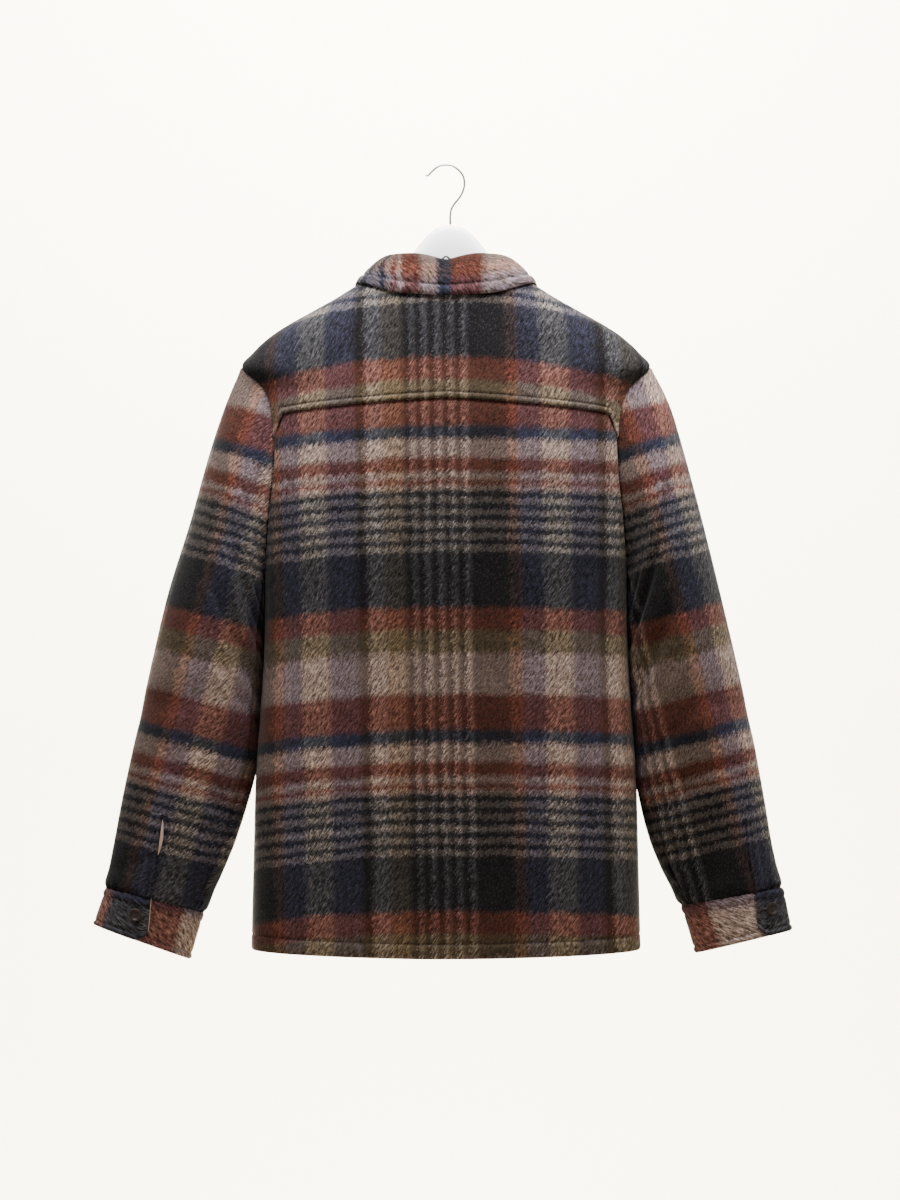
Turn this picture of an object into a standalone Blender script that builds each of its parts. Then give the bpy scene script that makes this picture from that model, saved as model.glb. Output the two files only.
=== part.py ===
"""A checked wool shacket hanging on a white hanger, shown from its back.

Lengths in this file are millimetres, and the model is metres, +Z up. The origin is the underside
of the hook's bend, where a rail carries it. The back of the garment faces -Y, its front +Y, and
the wearer's left is -X.

Every point of the trunk is given by a turn and a height: the turn is the angle round the body
from the centre of the back, positive towards +X, 90 at the side and 180 at the centre front.
"""
import math

import bmesh
import bpy
from mathutils import Vector

MM = 0.001

CLOTH = 2.4
CUFF_CLOTH = 3.0
COLLAR_CLOTH = 3.0
SEAM_GAP = 0.3
LAYER_GAP = 0.5

NECK_BACK_Z = -132.0
NECK_SIDE_Z = -124.0
NECK_FRONT_Z = -185.0
YOKE_CENTRE_Z = -257.0
YOKE_DROOP = 18.5
YOKE_CORNER_DROP = 24.0
YOKE_FRONT_TURN = 104.0
HEM_CENTRE_Z = -873.0
HEM_SIDE_RISE = 9.0

ARMHOLE_TOP_Z = -223.0
ARMHOLE_BOTTOM_Z = -468.0
ARMHOLE_HALF_DEPTH = 42.0

FRONT_OVERLAP = 17.0
FRONT_BUTTONS = 6
FRONT_BUTTON_TOP_Z = -222.0
FRONT_BUTTON_PITCH = 112.0
BUTTON_RADIUS = 7.0
BUTTON_HEIGHT = 3.0

# Trunk sections: height, half width, half depth, squareness of the section.
TRUNK = (
    (-108.0, 58.0, 42.0, 2.0),
    (-118.0, 74.0, 45.0, 2.0),
    (-130.0, 95.7, 49.0, 2.0),
    (-146.0, 121.6, 53.0, 2.0),
    (-161.0, 148.5, 56.5, 2.0),
    (-177.0, 177.0, 60.0, 2.05),
    (-189.0, 194.7, 62.5, 2.1),
    (-205.0, 212.0, 66.0, 2.15),
    (-223.0, 225.0, 70.0, 2.2),
    (-235.0, 216.0, 73.0, 2.25),
    (-247.0, 207.5, 75.5, 2.3),
    (-262.0, 203.0, 78.5, 2.45),
    (-285.0, 200.0, 82.0, 2.6),
    (-314.0, 199.0, 85.5, 2.8),
    (-345.0, 199.5, 88.0, 2.9),
    (-389.0, 201.0, 90.5, 3.0),
    (-436.0, 200.5, 92.0, 3.0),
    (-495.0, 200.0, 92.0, 3.0),
    (-541.0, 201.0, 91.5, 3.0),
    (-607.0, 205.0, 91.0, 2.95),
    (-664.0, 209.0, 90.0, 2.9),
    (-762.0, 211.6, 88.0, 2.8),
    (-880.0, 214.5, 86.0, 2.7),
)

# Largest soft folds of the trunk: turn, half width in degrees, height, half height, push outwards.
TRUNK_FOLDS = (
    (-27.0, 9.0, -640.0, 190.0, -4.5),
    (-8.0, 8.0, -720.0, 170.0, 3.5),
    (22.0, 9.0, -600.0, 200.0, -4.0),
    (40.0, 8.0, -760.0, 130.0, 3.5),
    (-52.0, 7.0, -520.0, 110.0, -5.0),
    (55.0, 7.0, -530.0, 120.0, -5.0),
    (138.0, 9.0, -560.0, 190.0, -4.5),
    (-134.0, 9.0, -600.0, 180.0, -4.5),
    (156.0, 8.0, -740.0, 130.0, 3.5),
    (-152.0, 8.0, -730.0, 140.0, 3.5),
)

# Sleeve sections: share of the length, outer x and z, inner x and z, half depth, centre y.
LEFT_SLEEVE = (
    (0.00, 224.0, -221.5, 199.0, -469.5, 42.0, 0.0),
    (0.06, 240.0, -255.0, 201.0, -482.0, 53.0, 1.0),
    (0.16, 262.0, -320.0, 201.5, -502.0, 61.0, 2.0),
    (0.28, 283.0, -395.0, 202.0, -532.0, 62.0, 2.0),
    (0.40, 307.0, -472.0, 204.5, -576.0, 59.0, 2.0),
    (0.52, 325.0, -548.0, 208.0, -620.0, 55.0, 3.0),
    (0.66, 343.0, -630.0, 214.0, -672.0, 49.0, 4.0),
    (0.78, 357.0, -695.0, 224.0, -722.0, 43.0, 5.0),
    (0.89, 367.0, -748.0, 243.0, -772.0, 36.0, 6.0),
    (1.00, 377.0, -796.0, 266.0, -824.0, 31.0, 7.0),
    (1.10, 390.0, -837.0, 282.0, -875.6, 29.0, 8.0),
)
RIGHT_SLEEVE = (
    (0.00, 224.0, -221.5, 199.0, -469.5, 42.0, 0.0),
    (0.06, 244.0, -256.0, 201.0, -482.0, 53.0, 1.0),
    (0.16, 264.0, -320.0, 202.5, -502.0, 61.0, 2.0),
    (0.28, 284.0, -395.0, 203.0, -532.0, 62.0, 2.0),
    (0.40, 303.0, -472.0, 204.5, -576.0, 59.0, 2.0),
    (0.52, 321.0, -548.0, 207.0, -620.0, 55.0, 3.0),
    (0.66, 339.0, -630.0, 211.5, -672.0, 49.0, 4.0),
    (0.78, 351.0, -695.0, 218.0, -722.0, 43.0, 5.0),
    (0.89, 360.0, -748.0, 236.0, -772.0, 36.0, 6.0),
    (1.00, 371.0, -796.0, 258.0, -816.0, 31.0, 7.0),
    (1.10, 382.0, -843.0, 275.0, -869.0, 29.0, 8.0),
)
SLEEVE_START = 0.003
SLEEVE_EDGE = 0.45
CUFF_START = 1.0008
ARMHOLE_FADE = 0.11
SLEEVE_CLEAR = 1.2

# Sleeve folds: share of the length, half length, angle round it, half width, tilt, push outwards.
# The angle is 0 at the outer edge, 90 at the back and 180 at the inner edge.
SLEEVE_FOLDS = (
    (0.20, 0.030, 105.0, 60.0, 0.0010, -4.0),
    (0.38, 0.035, 125.0, 55.0, 0.0012, -4.5),
    (0.56, 0.035, 60.0, 50.0, -0.0010, -3.5),
    (0.74, 0.030, 120.0, 50.0, 0.0010, -3.5),
    (0.30, 0.035, 260.0, 55.0, -0.0010, -4.0),
    (0.62, 0.035, 250.0, 55.0, 0.0010, -4.0),
)

# Where each cuff's lap ends round the sleeve, how far it slants, and where its button sits.
LEFT_LAP_ANGLE = 86.0
RIGHT_LAP_ANGLE = 63.0
LAP_SLANT = 8.0
LAP_UNDER = 34.0
LEFT_BUTTON_ANGLE = 75.5
RIGHT_BUTTON_ANGLE = 48.0
CUFF_BUTTON_SHARE = 0.42
PLACKET_TOP = 0.80
PLACKET_SLANT = 13.0
PLACKET_WIDTH = 15.0

# Collar: turn, turn and height of the outer edge, and how far the edge stands off the trunk.
COLLAR_EDGE = (
    (0.0, 0.0, -145.0, 3.6),
    (26.0, 26.0, -142.3, 3.6),
    (42.0, 42.0, -137.3, 3.6),
    (65.0, 65.0, -132.5, 3.6),
    (90.0, 90.0, -131.0, 3.6),
    (110.0, 112.0, -137.0, 4.4),
    (135.0, 140.0, -160.0, 5.6),
    (155.0, 157.0, -193.0, 8.6),
    (175.0, 170.0, -228.0, 9.4),
)
# Roll line of the collar: turn and height.
ROLL_LINE = (
    (0.0, -106.0),
    (38.0, -101.0),
    (70.0, -102.0),
    (90.0, -104.0),
    (120.0, -118.0),
    (150.0, -140.0),
    (180.0, -160.0),
)
COLLAR_COLUMNS = 38
ROLL_HALF_WIDTH = 64.0
ROLL_HALF_DEPTH = 47.0
ROLL_CENTRE_Y = 3.0
COLLAR_END_TURN = 175.0

# Hook wire centreline in x and z, from its tip over the bend to the foot of its shank.
HOOK = (
    (-23.0, -10.6), (-20.0, -10.4), (-15.8, -6.4), (-10.2, -1.6), (-5.0, 0.7), (0.0, 1.2),
    (6.2, 0.4), (13.6, -4.4), (18.6, -10.8), (20.4, -19.1), (18.7, -27.6), (15.1, -34.6),
    (9.5, -41.6), (5.9, -47.9), (4.8, -54.0), (4.8, -65.1),
)
HOOK_WIRE = 2.4

# Hanger sections: distance from its middle, top height, half height, half depth.
HANGER = (
    (0.0, -65.5, 34.0, 8.0),
    (12.0, -67.5, 33.0, 8.0),
    (24.0, -75.5, 29.0, 8.5),
    (34.0, -86.5, 24.0, 9.0),
    (43.0, -99.0, 19.0, 9.5),
    (54.0, -111.0, 16.0, 10.0),
    (70.0, -124.5, 13.0, 11.0),
    (92.0, -137.0, 12.0, 12.0),
    (120.0, -151.6, 11.5, 13.0),
    (150.0, -168.0, 11.0, 13.5),
    (175.0, -183.4, 9.0, 13.0),
    (186.0, -192.0, 6.0, 9.5),
    (191.0, -196.5, 3.0, 5.0),
)
HANGER_MIDDLE_X = 4.8

LOOP_TOP_Z = -101.0
LOOP_FOOT_Z = -127.0
LOOP_HALF_WIDTH = 9.0
LOOP_TAPE = 3.0
LOOP_THICKNESS = 1.2

COLOURS = {
    "wool": (0.09, 0.06, 0.05, 1.0),
    "button": (0.035, 0.016, 0.011, 1.0),
    "steel": (0.62, 0.62, 0.63, 1.0),
    "plastic": (0.85, 0.85, 0.84, 1.0),
    "tape": (0.02, 0.02, 0.022, 1.0),
}
ROUGHNESS = {"wool": 0.95, "button": 0.35, "steel": 0.2, "plastic": 0.25, "tape": 0.8}


def clear_scene():
    """Remove what the scene holds."""
    for thing in list(bpy.data.objects):
        bpy.data.objects.remove(thing, do_unlink=True)


def new_material(slot):
    """Make one plain finish."""
    material = bpy.data.materials.new(slot)
    material.use_nodes = True
    shader = material.node_tree.nodes["Principled BSDF"]
    shader.inputs["Base Color"].default_value = COLOURS[slot]
    shader.inputs["Roughness"].default_value = ROUGHNESS[slot]
    shader.inputs["Metallic"].default_value = 1.0 if slot == "steel" else 0.0
    return material


clear_scene()
SHACKET = bpy.data.collections.new("shacket")
bpy.context.scene.collection.children.link(SHACKET)
MATERIALS = {slot: new_material(slot) for slot in COLOURS}


def add_object(name, data, slot):
    """Put a mesh or a curve in the shacket's collection with its finish."""
    thing = bpy.data.objects.new(name, data)
    data.materials.append(MATERIALS[slot])
    SHACKET.objects.link(thing)
    return thing


def slope_at(rows, index, column):
    """The slope of a table's column at one of its rows, flat where the column turns back."""
    if index in (0, len(rows) - 1):
        low, high = (0, 1) if index == 0 else (index - 1, index)
        return (rows[high][column] - rows[low][column]) / (rows[high][0] - rows[low][0])
    before, here, after = rows[index - 1:index + 2]
    first = (here[column] - before[column]) / (here[0] - before[0])
    second = (after[column] - here[column]) / (after[0] - here[0])
    if first * second <= 0.0:
        return 0.0
    return 2.0 * first * second / (first + second)


def read_table(rows, key, column):
    """Read a column between the rows of a table, on a smooth curve that never overshoots."""
    rising = rows[-1][0] > rows[0][0]
    index = 0
    while index < len(rows) - 2 and (rows[index + 1][0] < key) == rising:
        index += 1
    low, high = rows[index], rows[index + 1]
    span = high[0] - low[0]
    share = min(max((key - low[0]) / span, 0.0), 1.0)
    start = slope_at(rows, index, column) * span
    end = slope_at(rows, index + 1, column) * span
    rise = high[column] - low[column]
    cubic = start + end - 2.0 * rise
    square = 3.0 * rise - 2.0 * start - end
    return low[column] + share * (start + share * (square + share * cubic))


def mix(low, high, share):
    """Go from one value to another."""
    return low + (high - low) * share


def ease(share):
    """Go from 0 to 1 with soft ends."""
    share = min(max(share, 0.0), 1.0)
    return share * share * (3.0 - 2.0 * share)


def bell(distance, reach):
    """A soft hump of height 1."""
    return math.exp(-((distance / reach) ** 2))


def trunk_fold(turn, z):
    """How far the largest folds push the trunk outwards."""
    push = 0.0
    for fold_turn, half_turn, fold_z, half_height, depth in TRUNK_FOLDS:
        push += depth * bell(turn - fold_turn, half_turn) * bell(z - fold_z, half_height)
    return push


def section_value(x, y, z):
    """1 on the trunk's surface, more outside it."""
    power = read_table(TRUNK, z, 3)
    across = abs(x) / read_table(TRUNK, z, 1)
    deep = abs(y) / read_table(TRUNK, z, 2)
    return across ** power + deep ** power


def trunk_point(turn, z, out=0.0):
    """A point of the trunk's outer surface, moved out along the surface's normal."""
    half_width = read_table(TRUNK, z, 1)
    half_depth = read_table(TRUNK, z, 2)
    power = read_table(TRUNK, z, 3)
    angle = math.radians(turn)
    sine, cosine = math.sin(angle), math.cos(angle)
    reach = (abs(sine) ** power + abs(cosine) ** power) ** (-1.0 / power)
    across, deep = reach * sine, -reach * cosine
    x, y = half_width * across, half_depth * deep
    normal = Vector((
        math.copysign(power * abs(across) ** (power - 1.0) / half_width, across),
        math.copysign(power * abs(deep) ** (power - 1.0) / half_depth, deep),
        (section_value(x, y, z + 1.0) - section_value(x, y, z - 1.0)) / 2.0,
    )).normalized()
    return Vector((x, y, z)) + normal * (out + trunk_fold(turn, z))


def armhole_depth(z):
    """How far the armhole's edge lies in front of and behind the side, at a height."""
    middle = (ARMHOLE_TOP_Z + ARMHOLE_BOTTOM_Z) / 2.0
    half_height = (ARMHOLE_TOP_Z - ARMHOLE_BOTTOM_Z) / 2.0
    share = min(abs(z - middle) / half_height, 1.0)
    return ARMHOLE_HALF_DEPTH * math.sqrt(1.0 - share * share)


def armhole_turn(z):
    """The turn of the armhole's back edge, 90 above and below the armhole."""
    deep = armhole_depth(z) / read_table(TRUNK, z, 2)
    power = read_table(TRUNK, z, 3)
    across = (1.0 - deep ** power) ** (1.0 / power)
    return math.degrees(math.atan2(across, deep))


def armhole_top_z(turn):
    """The height at which the upper armhole passes a turn near the side."""
    wanted = 90.0 - abs(90.0 - abs(turn))
    high, low = ARMHOLE_TOP_Z, (ARMHOLE_TOP_Z + ARMHOLE_BOTTOM_Z) / 2.0
    for _ in range(40):
        middle = (high + low) / 2.0
        if armhole_turn(middle) > wanted:
            high = middle
        else:
            low = middle
    return high


def neck_z(turn):
    """Height of the neck seam."""
    if abs(turn) <= 90.0:
        return mix(NECK_BACK_Z, NECK_SIDE_Z, (abs(turn) / 90.0) ** 2)
    return mix(NECK_SIDE_Z, NECK_FRONT_Z, min((abs(turn) - 90.0) / 90.0, 1.0) ** 2.5)


def yoke_z(turn):
    """Height of the yoke's lower seam on the back, which turns down round a corner at each armhole."""
    slope = YOKE_DROOP * min(abs(turn) / 60.0, 1.0) ** 1.3
    return YOKE_CENTRE_Z - slope - YOKE_CORNER_DROP * ease((abs(turn) - 56.0) / 8.0)


def hem_z(turn):
    """Height of the hem."""
    return HEM_CENTRE_Z + HEM_SIDE_RISE * math.sin(math.radians(turn)) ** 2


def yoke_corner_turn():
    """The turn at which the yoke's seam runs into the armhole."""
    turn = 66.0
    for _ in range(30):
        turn = armhole_turn(yoke_z(turn))
    return turn


CORNER_TURN = yoke_corner_turn()
SEAM_TURN = 0.14
SHOULDER_SEAM_TURN = 0.6
SHOULDER_END_Z = armhole_top_z(YOKE_FRONT_TURN)


def wall(name, point, columns, rows, thickness, slot="wool", closed=False):
    """Make a wall of cloth from point(across, down, inset), closed into one solid."""
    mesh = bmesh.new()
    bmesh.ops.create_grid(mesh, x_segments=columns, y_segments=rows, size=0.5)
    outside = list(mesh.verts)
    places = [(vert.co.x + 0.5, 0.5 - vert.co.y) for vert in outside]
    copy = bmesh.ops.duplicate(mesh, geom=mesh.verts[:] + mesh.edges[:] + mesh.faces[:])
    inside = {vert: copy["vert_map"][vert] for vert in outside}
    for vert, (across, down) in zip(outside, places):
        vert.co = point(across, down, 0.0) * MM
        inside[vert].co = point(across, down, thickness) * MM
    edges = [edge for edge in mesh.edges if edge.is_boundary and edge.verts[0] in inside]
    for edge in edges:
        first, second = edge.verts
        if closed and is_seam(places, outside, first, second):
            continue
        mesh.faces.new((second, first, inside[first], inside[second]))
    if closed:
        bmesh.ops.remove_doubles(mesh, verts=mesh.verts, dist=0.00002)
    bmesh.ops.recalc_face_normals(mesh, faces=mesh.faces)
    if mesh.calc_volume(signed=True) < 0.0:
        bmesh.ops.reverse_faces(mesh, faces=mesh.faces)
    data = bpy.data.meshes.new(name)
    mesh.to_mesh(data)
    mesh.free()
    data.shade_smooth()
    return add_object(name, data, slot)


def is_seam(places, outside, first, second):
    """Tell whether an edge lies where a closed tube joins itself."""
    starts = [places[outside.index(vert)][0] for vert in (first, second)]
    return max(starts) < 0.0001 or min(starts) > 0.9999


def at(stations, share):
    """Read a list of stations at a share of its length."""
    place = share * (len(stations) - 1)
    index = min(int(place), len(stations) - 2)
    return mix(stations[index], stations[index + 1], place - index)


def row_height(heights, share, top_z, settled_z, bottom_z):
    """The height of a row: it follows the top edge first and the hem last."""
    z = at(heights, share)
    if z > settled_z:
        return mix(top_z, settled_z, (z - heights[0]) / (settled_z - heights[0]))
    return mix(settled_z, bottom_z, (z - settled_z) / (heights[-1] - settled_z))


CORNER_SHARES = (0.89, 0.915, 0.94, 0.965, 1.0)
BACK_SHARES = (
    [-share for share in reversed(CORNER_SHARES)]
    + [0.86 * step / 9 for step in range(-9, 10)]
    + list(CORNER_SHARES)
)
YOKE_SIDE_TURNS = [90.0 - (90.0 - CORNER_TURN) * math.cos(0.1 * math.pi * step) for step in range(1, 6)]
YOKE_HALF_TURNS = YOKE_SIDE_TURNS + [97.0, YOKE_FRONT_TURN]
YOKE_TURNS = (
    [-turn for turn in reversed(YOKE_HALF_TURNS)]
    + [CORNER_TURN * share for share in BACK_SHARES]
    + YOKE_HALF_TURNS
)
YOKE_ROWS = 8

# Heights of the rows of the back and the fronts where they meet at the side.
ARMHOLE_ROWS = (-345.0, -375.0, -405.0, -430.0, -448.0, -460.0, -466.5)
SIDE_ROWS = (ARMHOLE_BOTTOM_Z, -485.0, -525.0, -570.0, -615.0, -660.0, -705.0, -750.0, -795.0, -835.0, -864.0)
BACK_HEIGHTS = (-280.0, -290.0, -315.0) + ARMHOLE_ROWS + SIDE_ROWS
FRONT_HEIGHTS = (
    (NECK_SIDE_Z, -150.0, -180.0, -210.0, SHOULDER_END_Z, -246.0, -256.0, -268.0, -290.0, -315.0)
    + ARMHOLE_ROWS + SIDE_ROWS
)


def yoke_point(across, down, inset):
    """The back yoke, which runs over both shoulders to a seam just in front of them."""
    turn = at(YOKE_TURNS, across)
    bottom = yoke_z(turn) if abs(turn) <= CORNER_TURN + 0.01 else armhole_top_z(turn)
    return trunk_point(turn, mix(neck_z(turn), bottom, down), -inset)


def back_point(across, down, inset):
    """The back below the yoke, from armhole to armhole and side seam to side seam."""
    edge = CORNER_TURN
    for _ in range(12):
        edge_z = row_height(BACK_HEIGHTS, down, yoke_z(edge) - SEAM_GAP, ARMHOLE_ROWS[0], hem_z(edge))
        edge = min(armhole_turn(edge_z), 90.0 - SEAM_TURN)
    turn = edge * at(BACK_SHARES, across)
    z = row_height(BACK_HEIGHTS, down, yoke_z(turn) - SEAM_GAP, ARMHOLE_ROWS[0], hem_z(turn))
    return trunk_point(turn, z, -inset)


FRONT_COLUMNS = 12


def front_side_turn(z):
    """The turn of a front's outer edge: shoulder seam, armhole, then side seam."""
    if z > SHOULDER_END_Z:
        return YOKE_FRONT_TURN + SHOULDER_SEAM_TURN
    return max(180.0 - armhole_turn(z), 90.0 + SEAM_TURN)


def front_point(side, over):
    """A front, from its side seam to just past the centre; the upper one lies over the other."""
    def point(across, down, inset):
        z = mix(NECK_FRONT_Z, HEM_CENTRE_Z, down)
        turn = 150.0
        for _ in range(8):
            edge = front_side_turn(z)
            lap = math.degrees(math.asin(FRONT_OVERLAP / read_table(TRUNK, z, 1)))
            turn = mix(edge, 180.0 + lap, across)
            z = row_height(FRONT_HEIGHTS, down, neck_z(turn), ARMHOLE_ROWS[0], hem_z(turn))
        lift = 0.0
        if over:
            lift = (CLOTH + LAYER_GAP) * ease((turn - 160.0) / 12.0)
        return trunk_point(side * turn, z, lift - inset)
    return point


def sleeve_ring(rows, side, share, angle):
    """A point of a sleeve's outer surface, before its folds."""
    around = math.radians(angle)
    outer_x, outer_z, inner_x, inner_z, deep, middle_y = [
        read_table(rows, share, column) for column in range(1, 7)]
    inner_x = max(inner_x, read_table(TRUNK, inner_z, 1) + SLEEVE_CLEAR)
    along = (math.cos(around) + 1.0) / 2.0
    x = mix(inner_x, outer_x, along)
    y = middle_y - deep * math.sin(around)
    z = mix(inner_z, outer_z, along)
    if share < ARMHOLE_FADE:
        on_trunk = armhole_ring(around)
        fade = 1.0 - ease(share / ARMHOLE_FADE)
        x = mix(x, on_trunk.x, fade * fade)
        y = mix(y, on_trunk.y, fade)
        z = mix(z, on_trunk.z, fade * fade)
    return Vector((side * x, y, z))


def armhole_ring(around):
    """The sleeve's first ring, which follows the armhole on the +X side."""
    middle = (ARMHOLE_TOP_Z + ARMHOLE_BOTTOM_Z) / 2.0
    half_height = (ARMHOLE_TOP_Z - ARMHOLE_BOTTOM_Z) / 2.0
    z = middle + half_height * math.cos(around)
    edge = armhole_turn(z)
    turn = edge if math.sin(around) >= 0.0 else 180.0 - edge
    return trunk_point(turn, z, LAYER_GAP + 0.3)


def sleeve_fold(share, angle):
    """How far the largest folds push a sleeve outwards."""
    push = 0.0
    for fold_share, half_length, fold_angle, half_width, tilt, depth in SLEEVE_FOLDS:
        off = (angle - fold_angle + 180.0) % 360.0 - 180.0
        push += depth * bell(share - fold_share - tilt * off, half_length) * bell(off, half_width)
    return push


def sleeve_point(rows, side, share, angle, out):
    """A point of a sleeve moved out along the normal of its surface."""
    here = sleeve_ring(rows, side, share, angle)
    ahead = sleeve_ring(rows, side, share + 0.004, angle)
    round_it = sleeve_ring(rows, side, share, angle + 1.0) - sleeve_ring(rows, side, share, angle - 1.0)
    normal = round_it.cross(ahead - here) * side
    return here + normal.normalized() * (out + sleeve_fold(share, angle) * ease((share - 0.05) / 0.1))


def sleeve_wall(rows, side):
    """The whole sleeve, from the armhole to the cuff's seam."""
    def point(across, down, inset):
        share = mix(SLEEVE_START, 1.0, down ** 1.15)
        full = mix(SLEEVE_EDGE, 1.0, ease(share / 0.05))
        return sleeve_point(rows, side, share, 360.0 * across, -inset * full)
    return point


def cuff_wall(rows, side, lap_angle):
    """The cuff: a band whose outer end laps over its inner end on the back of the wrist."""
    def point(across, down, inset):
        angle = mix(lap_angle - LAP_UNDER, lap_angle + 360.0, across) + LAP_SLANT * down
        lift = (CUFF_CLOTH + LAYER_GAP) * ease((across - 0.74) / 0.1)
        share = mix(CUFF_START, 1.1, down)
        return sleeve_point(rows, side, share, angle, lift + 0.6 - inset)
    return point


def degrees_for(rows, share, width):
    """The angle that a width takes on the back of a sleeve."""
    half = 0.5 * math.hypot(
        read_table(rows, share, 1) - read_table(rows, share, 3),
        read_table(rows, share, 2) - read_table(rows, share, 4))
    return math.degrees(width / half)


def placket_wall(rows, side, lap_angle):
    """The strip that finishes the slit above the cuff, lying on the sleeve."""
    def point(across, down, inset):
        share = mix(PLACKET_TOP, 0.997, down)
        edge = mix(lap_angle - PLACKET_SLANT, lap_angle, down)
        angle = edge - degrees_for(rows, share, PLACKET_WIDTH) * (1.0 - across)
        return sleeve_point(rows, side, share, angle, 1.6 + LAYER_GAP - inset)
    return point


def roll_point(turn):
    """A point of the roll line, where the collar turns over."""
    angle = math.radians(turn)
    x = ROLL_HALF_WIDTH * math.sin(angle)
    y = ROLL_CENTRE_Y - ROLL_HALF_DEPTH * math.cos(angle)
    return Vector((x, y, read_table(ROLL_LINE, abs(turn), 1)))


def flat_normal(turn):
    """The level direction out of the collar."""
    angle = math.radians(turn)
    return Vector((math.sin(angle) / ROLL_HALF_WIDTH, -math.cos(angle) / ROLL_HALF_DEPTH, 0.0)).normalized()


def stand_point(across, down, inset):
    """The collar stand, between the roll line and the neck seam."""
    turn = mix(-COLLAR_END_TURN, COLLAR_END_TURN, across)
    foot = trunk_point(turn, neck_z(turn)) + Vector((0.0, 0.0, SEAM_GAP + 0.15))
    return roll_point(turn).lerp(foot, down) - flat_normal(turn) * inset


def fall_point(across, down, inset):
    """The collar fall, from above the stand over the roll line to its outer edge."""
    turn = mix(-COLLAR_END_TURN, COLLAR_END_TURN, across)
    side = math.copysign(1.0, turn)
    edge_turn, edge_z, edge_out = [read_table(COLLAR_EDGE, abs(turn), column) for column in (1, 2, 3)]
    outwards = flat_normal(turn)
    rise = COLLAR_CLOTH + 2.4 * LAYER_GAP
    start = roll_point(turn) - outwards * CLOTH + Vector((0.0, 0.0, rise))
    belly = mix(10.0, 17.0, ease((abs(turn) - 100.0) / 70.0))
    bend = roll_point(turn) + outwards * belly + Vector((0.0, 0.0, rise + 1.0))
    end = trunk_point(side * edge_turn, edge_z, edge_out)
    share = down
    place = start.lerp(bend, share).lerp(bend.lerp(end, share), share)
    tangent = (bend - start).lerp(end - bend, share)
    round_it = Vector((math.cos(math.radians(turn)) * ROLL_HALF_WIDTH,
                       math.sin(math.radians(turn)) * ROLL_HALF_DEPTH, 0.0))
    normal = tangent.cross(round_it).normalized()
    if normal.dot(outwards + Vector((0.0, 0.0, 1.0))) < 0.0:
        normal = -normal
    return place - normal * inset


def turned(name, profile, place, axis, slot, steps=14):
    """Turn a profile of radius and height pairs round an axis through a place."""
    data = bpy.data.meshes.new(name)
    mesh = bmesh.new()
    verts = [mesh.verts.new((radius * MM, 0.0, height * MM)) for radius, height in profile]
    for first, second in zip(verts, verts[1:]):
        mesh.edges.new((first, second))
    mesh.to_mesh(data)
    mesh.free()
    thing = add_object(name, data, slot)
    screw = thing.modifiers.new("turn", "SCREW")
    screw.axis = "Z"
    screw.steps = steps
    screw.render_steps = steps
    screw.use_merge_vertices = True
    screw.merge_threshold = 0.00005
    screw.use_normal_calculate = True
    thing.location = place * MM
    thing.rotation_mode = "QUATERNION"
    thing.rotation_quaternion = axis.to_track_quat("Z", "Y")
    return thing


def button(name, foot, normal):
    """A round button with a raised rim, lying just clear of the cloth."""
    rim = BUTTON_RADIUS - 1.6
    profile = (
        (0.0, BUTTON_HEIGHT - 0.9),
        (rim - 0.5, BUTTON_HEIGHT - 0.9),
        (rim, BUTTON_HEIGHT),
        (BUTTON_RADIUS - 0.5, BUTTON_HEIGHT),
        (BUTTON_RADIUS, BUTTON_HEIGHT - 0.7),
        (BUTTON_RADIUS - 0.2, 0.9),
        (BUTTON_RADIUS - 2.0, 0.0),
        (0.0, 0.0),
    )
    return turned(name, profile, foot + normal * LAYER_GAP, normal, "button")


def wire(name, route, diameter, slot):
    """A round wire along a route."""
    data = bpy.data.curves.new(name, "CURVE")
    data.dimensions = "3D"
    data.bevel_depth = 0.5 * diameter * MM
    data.bevel_resolution = 2
    data.use_fill_caps = True
    spline = data.splines.new("POLY")
    spline.points.add(len(route) - 1)
    for place, knot in zip(route, spline.points):
        knot.co = (place[0] * MM, place[1] * MM, place[2] * MM, 1.0)
    return add_object(name, data, slot)


def smooth_route(points, steps):
    """A smooth curve through points of x and z, as places in the plane of the hanger."""
    route = []
    count = len(points)
    for index in range(count - 1):
        before = points[max(index - 1, 0)]
        start, end = points[index], points[index + 1]
        after = points[min(index + 2, count - 1)]
        for step in range(steps):
            share = step / steps
            weights = (
                -0.5 * share + share ** 2 - 0.5 * share ** 3,
                1.0 - 2.5 * share ** 2 + 1.5 * share ** 3,
                0.5 * share + 2.0 * share ** 2 - 1.5 * share ** 3,
                -0.5 * share ** 2 + 0.5 * share ** 3,
            )
            knots = (before, start, end, after)
            x, z = [sum(w * knot[axis] for w, knot in zip(weights, knots)) for axis in (0, 1)]
            route.append((x, 0.0, z))
    route.append((points[-1][0], 0.0, points[-1][1]))
    return route


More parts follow.
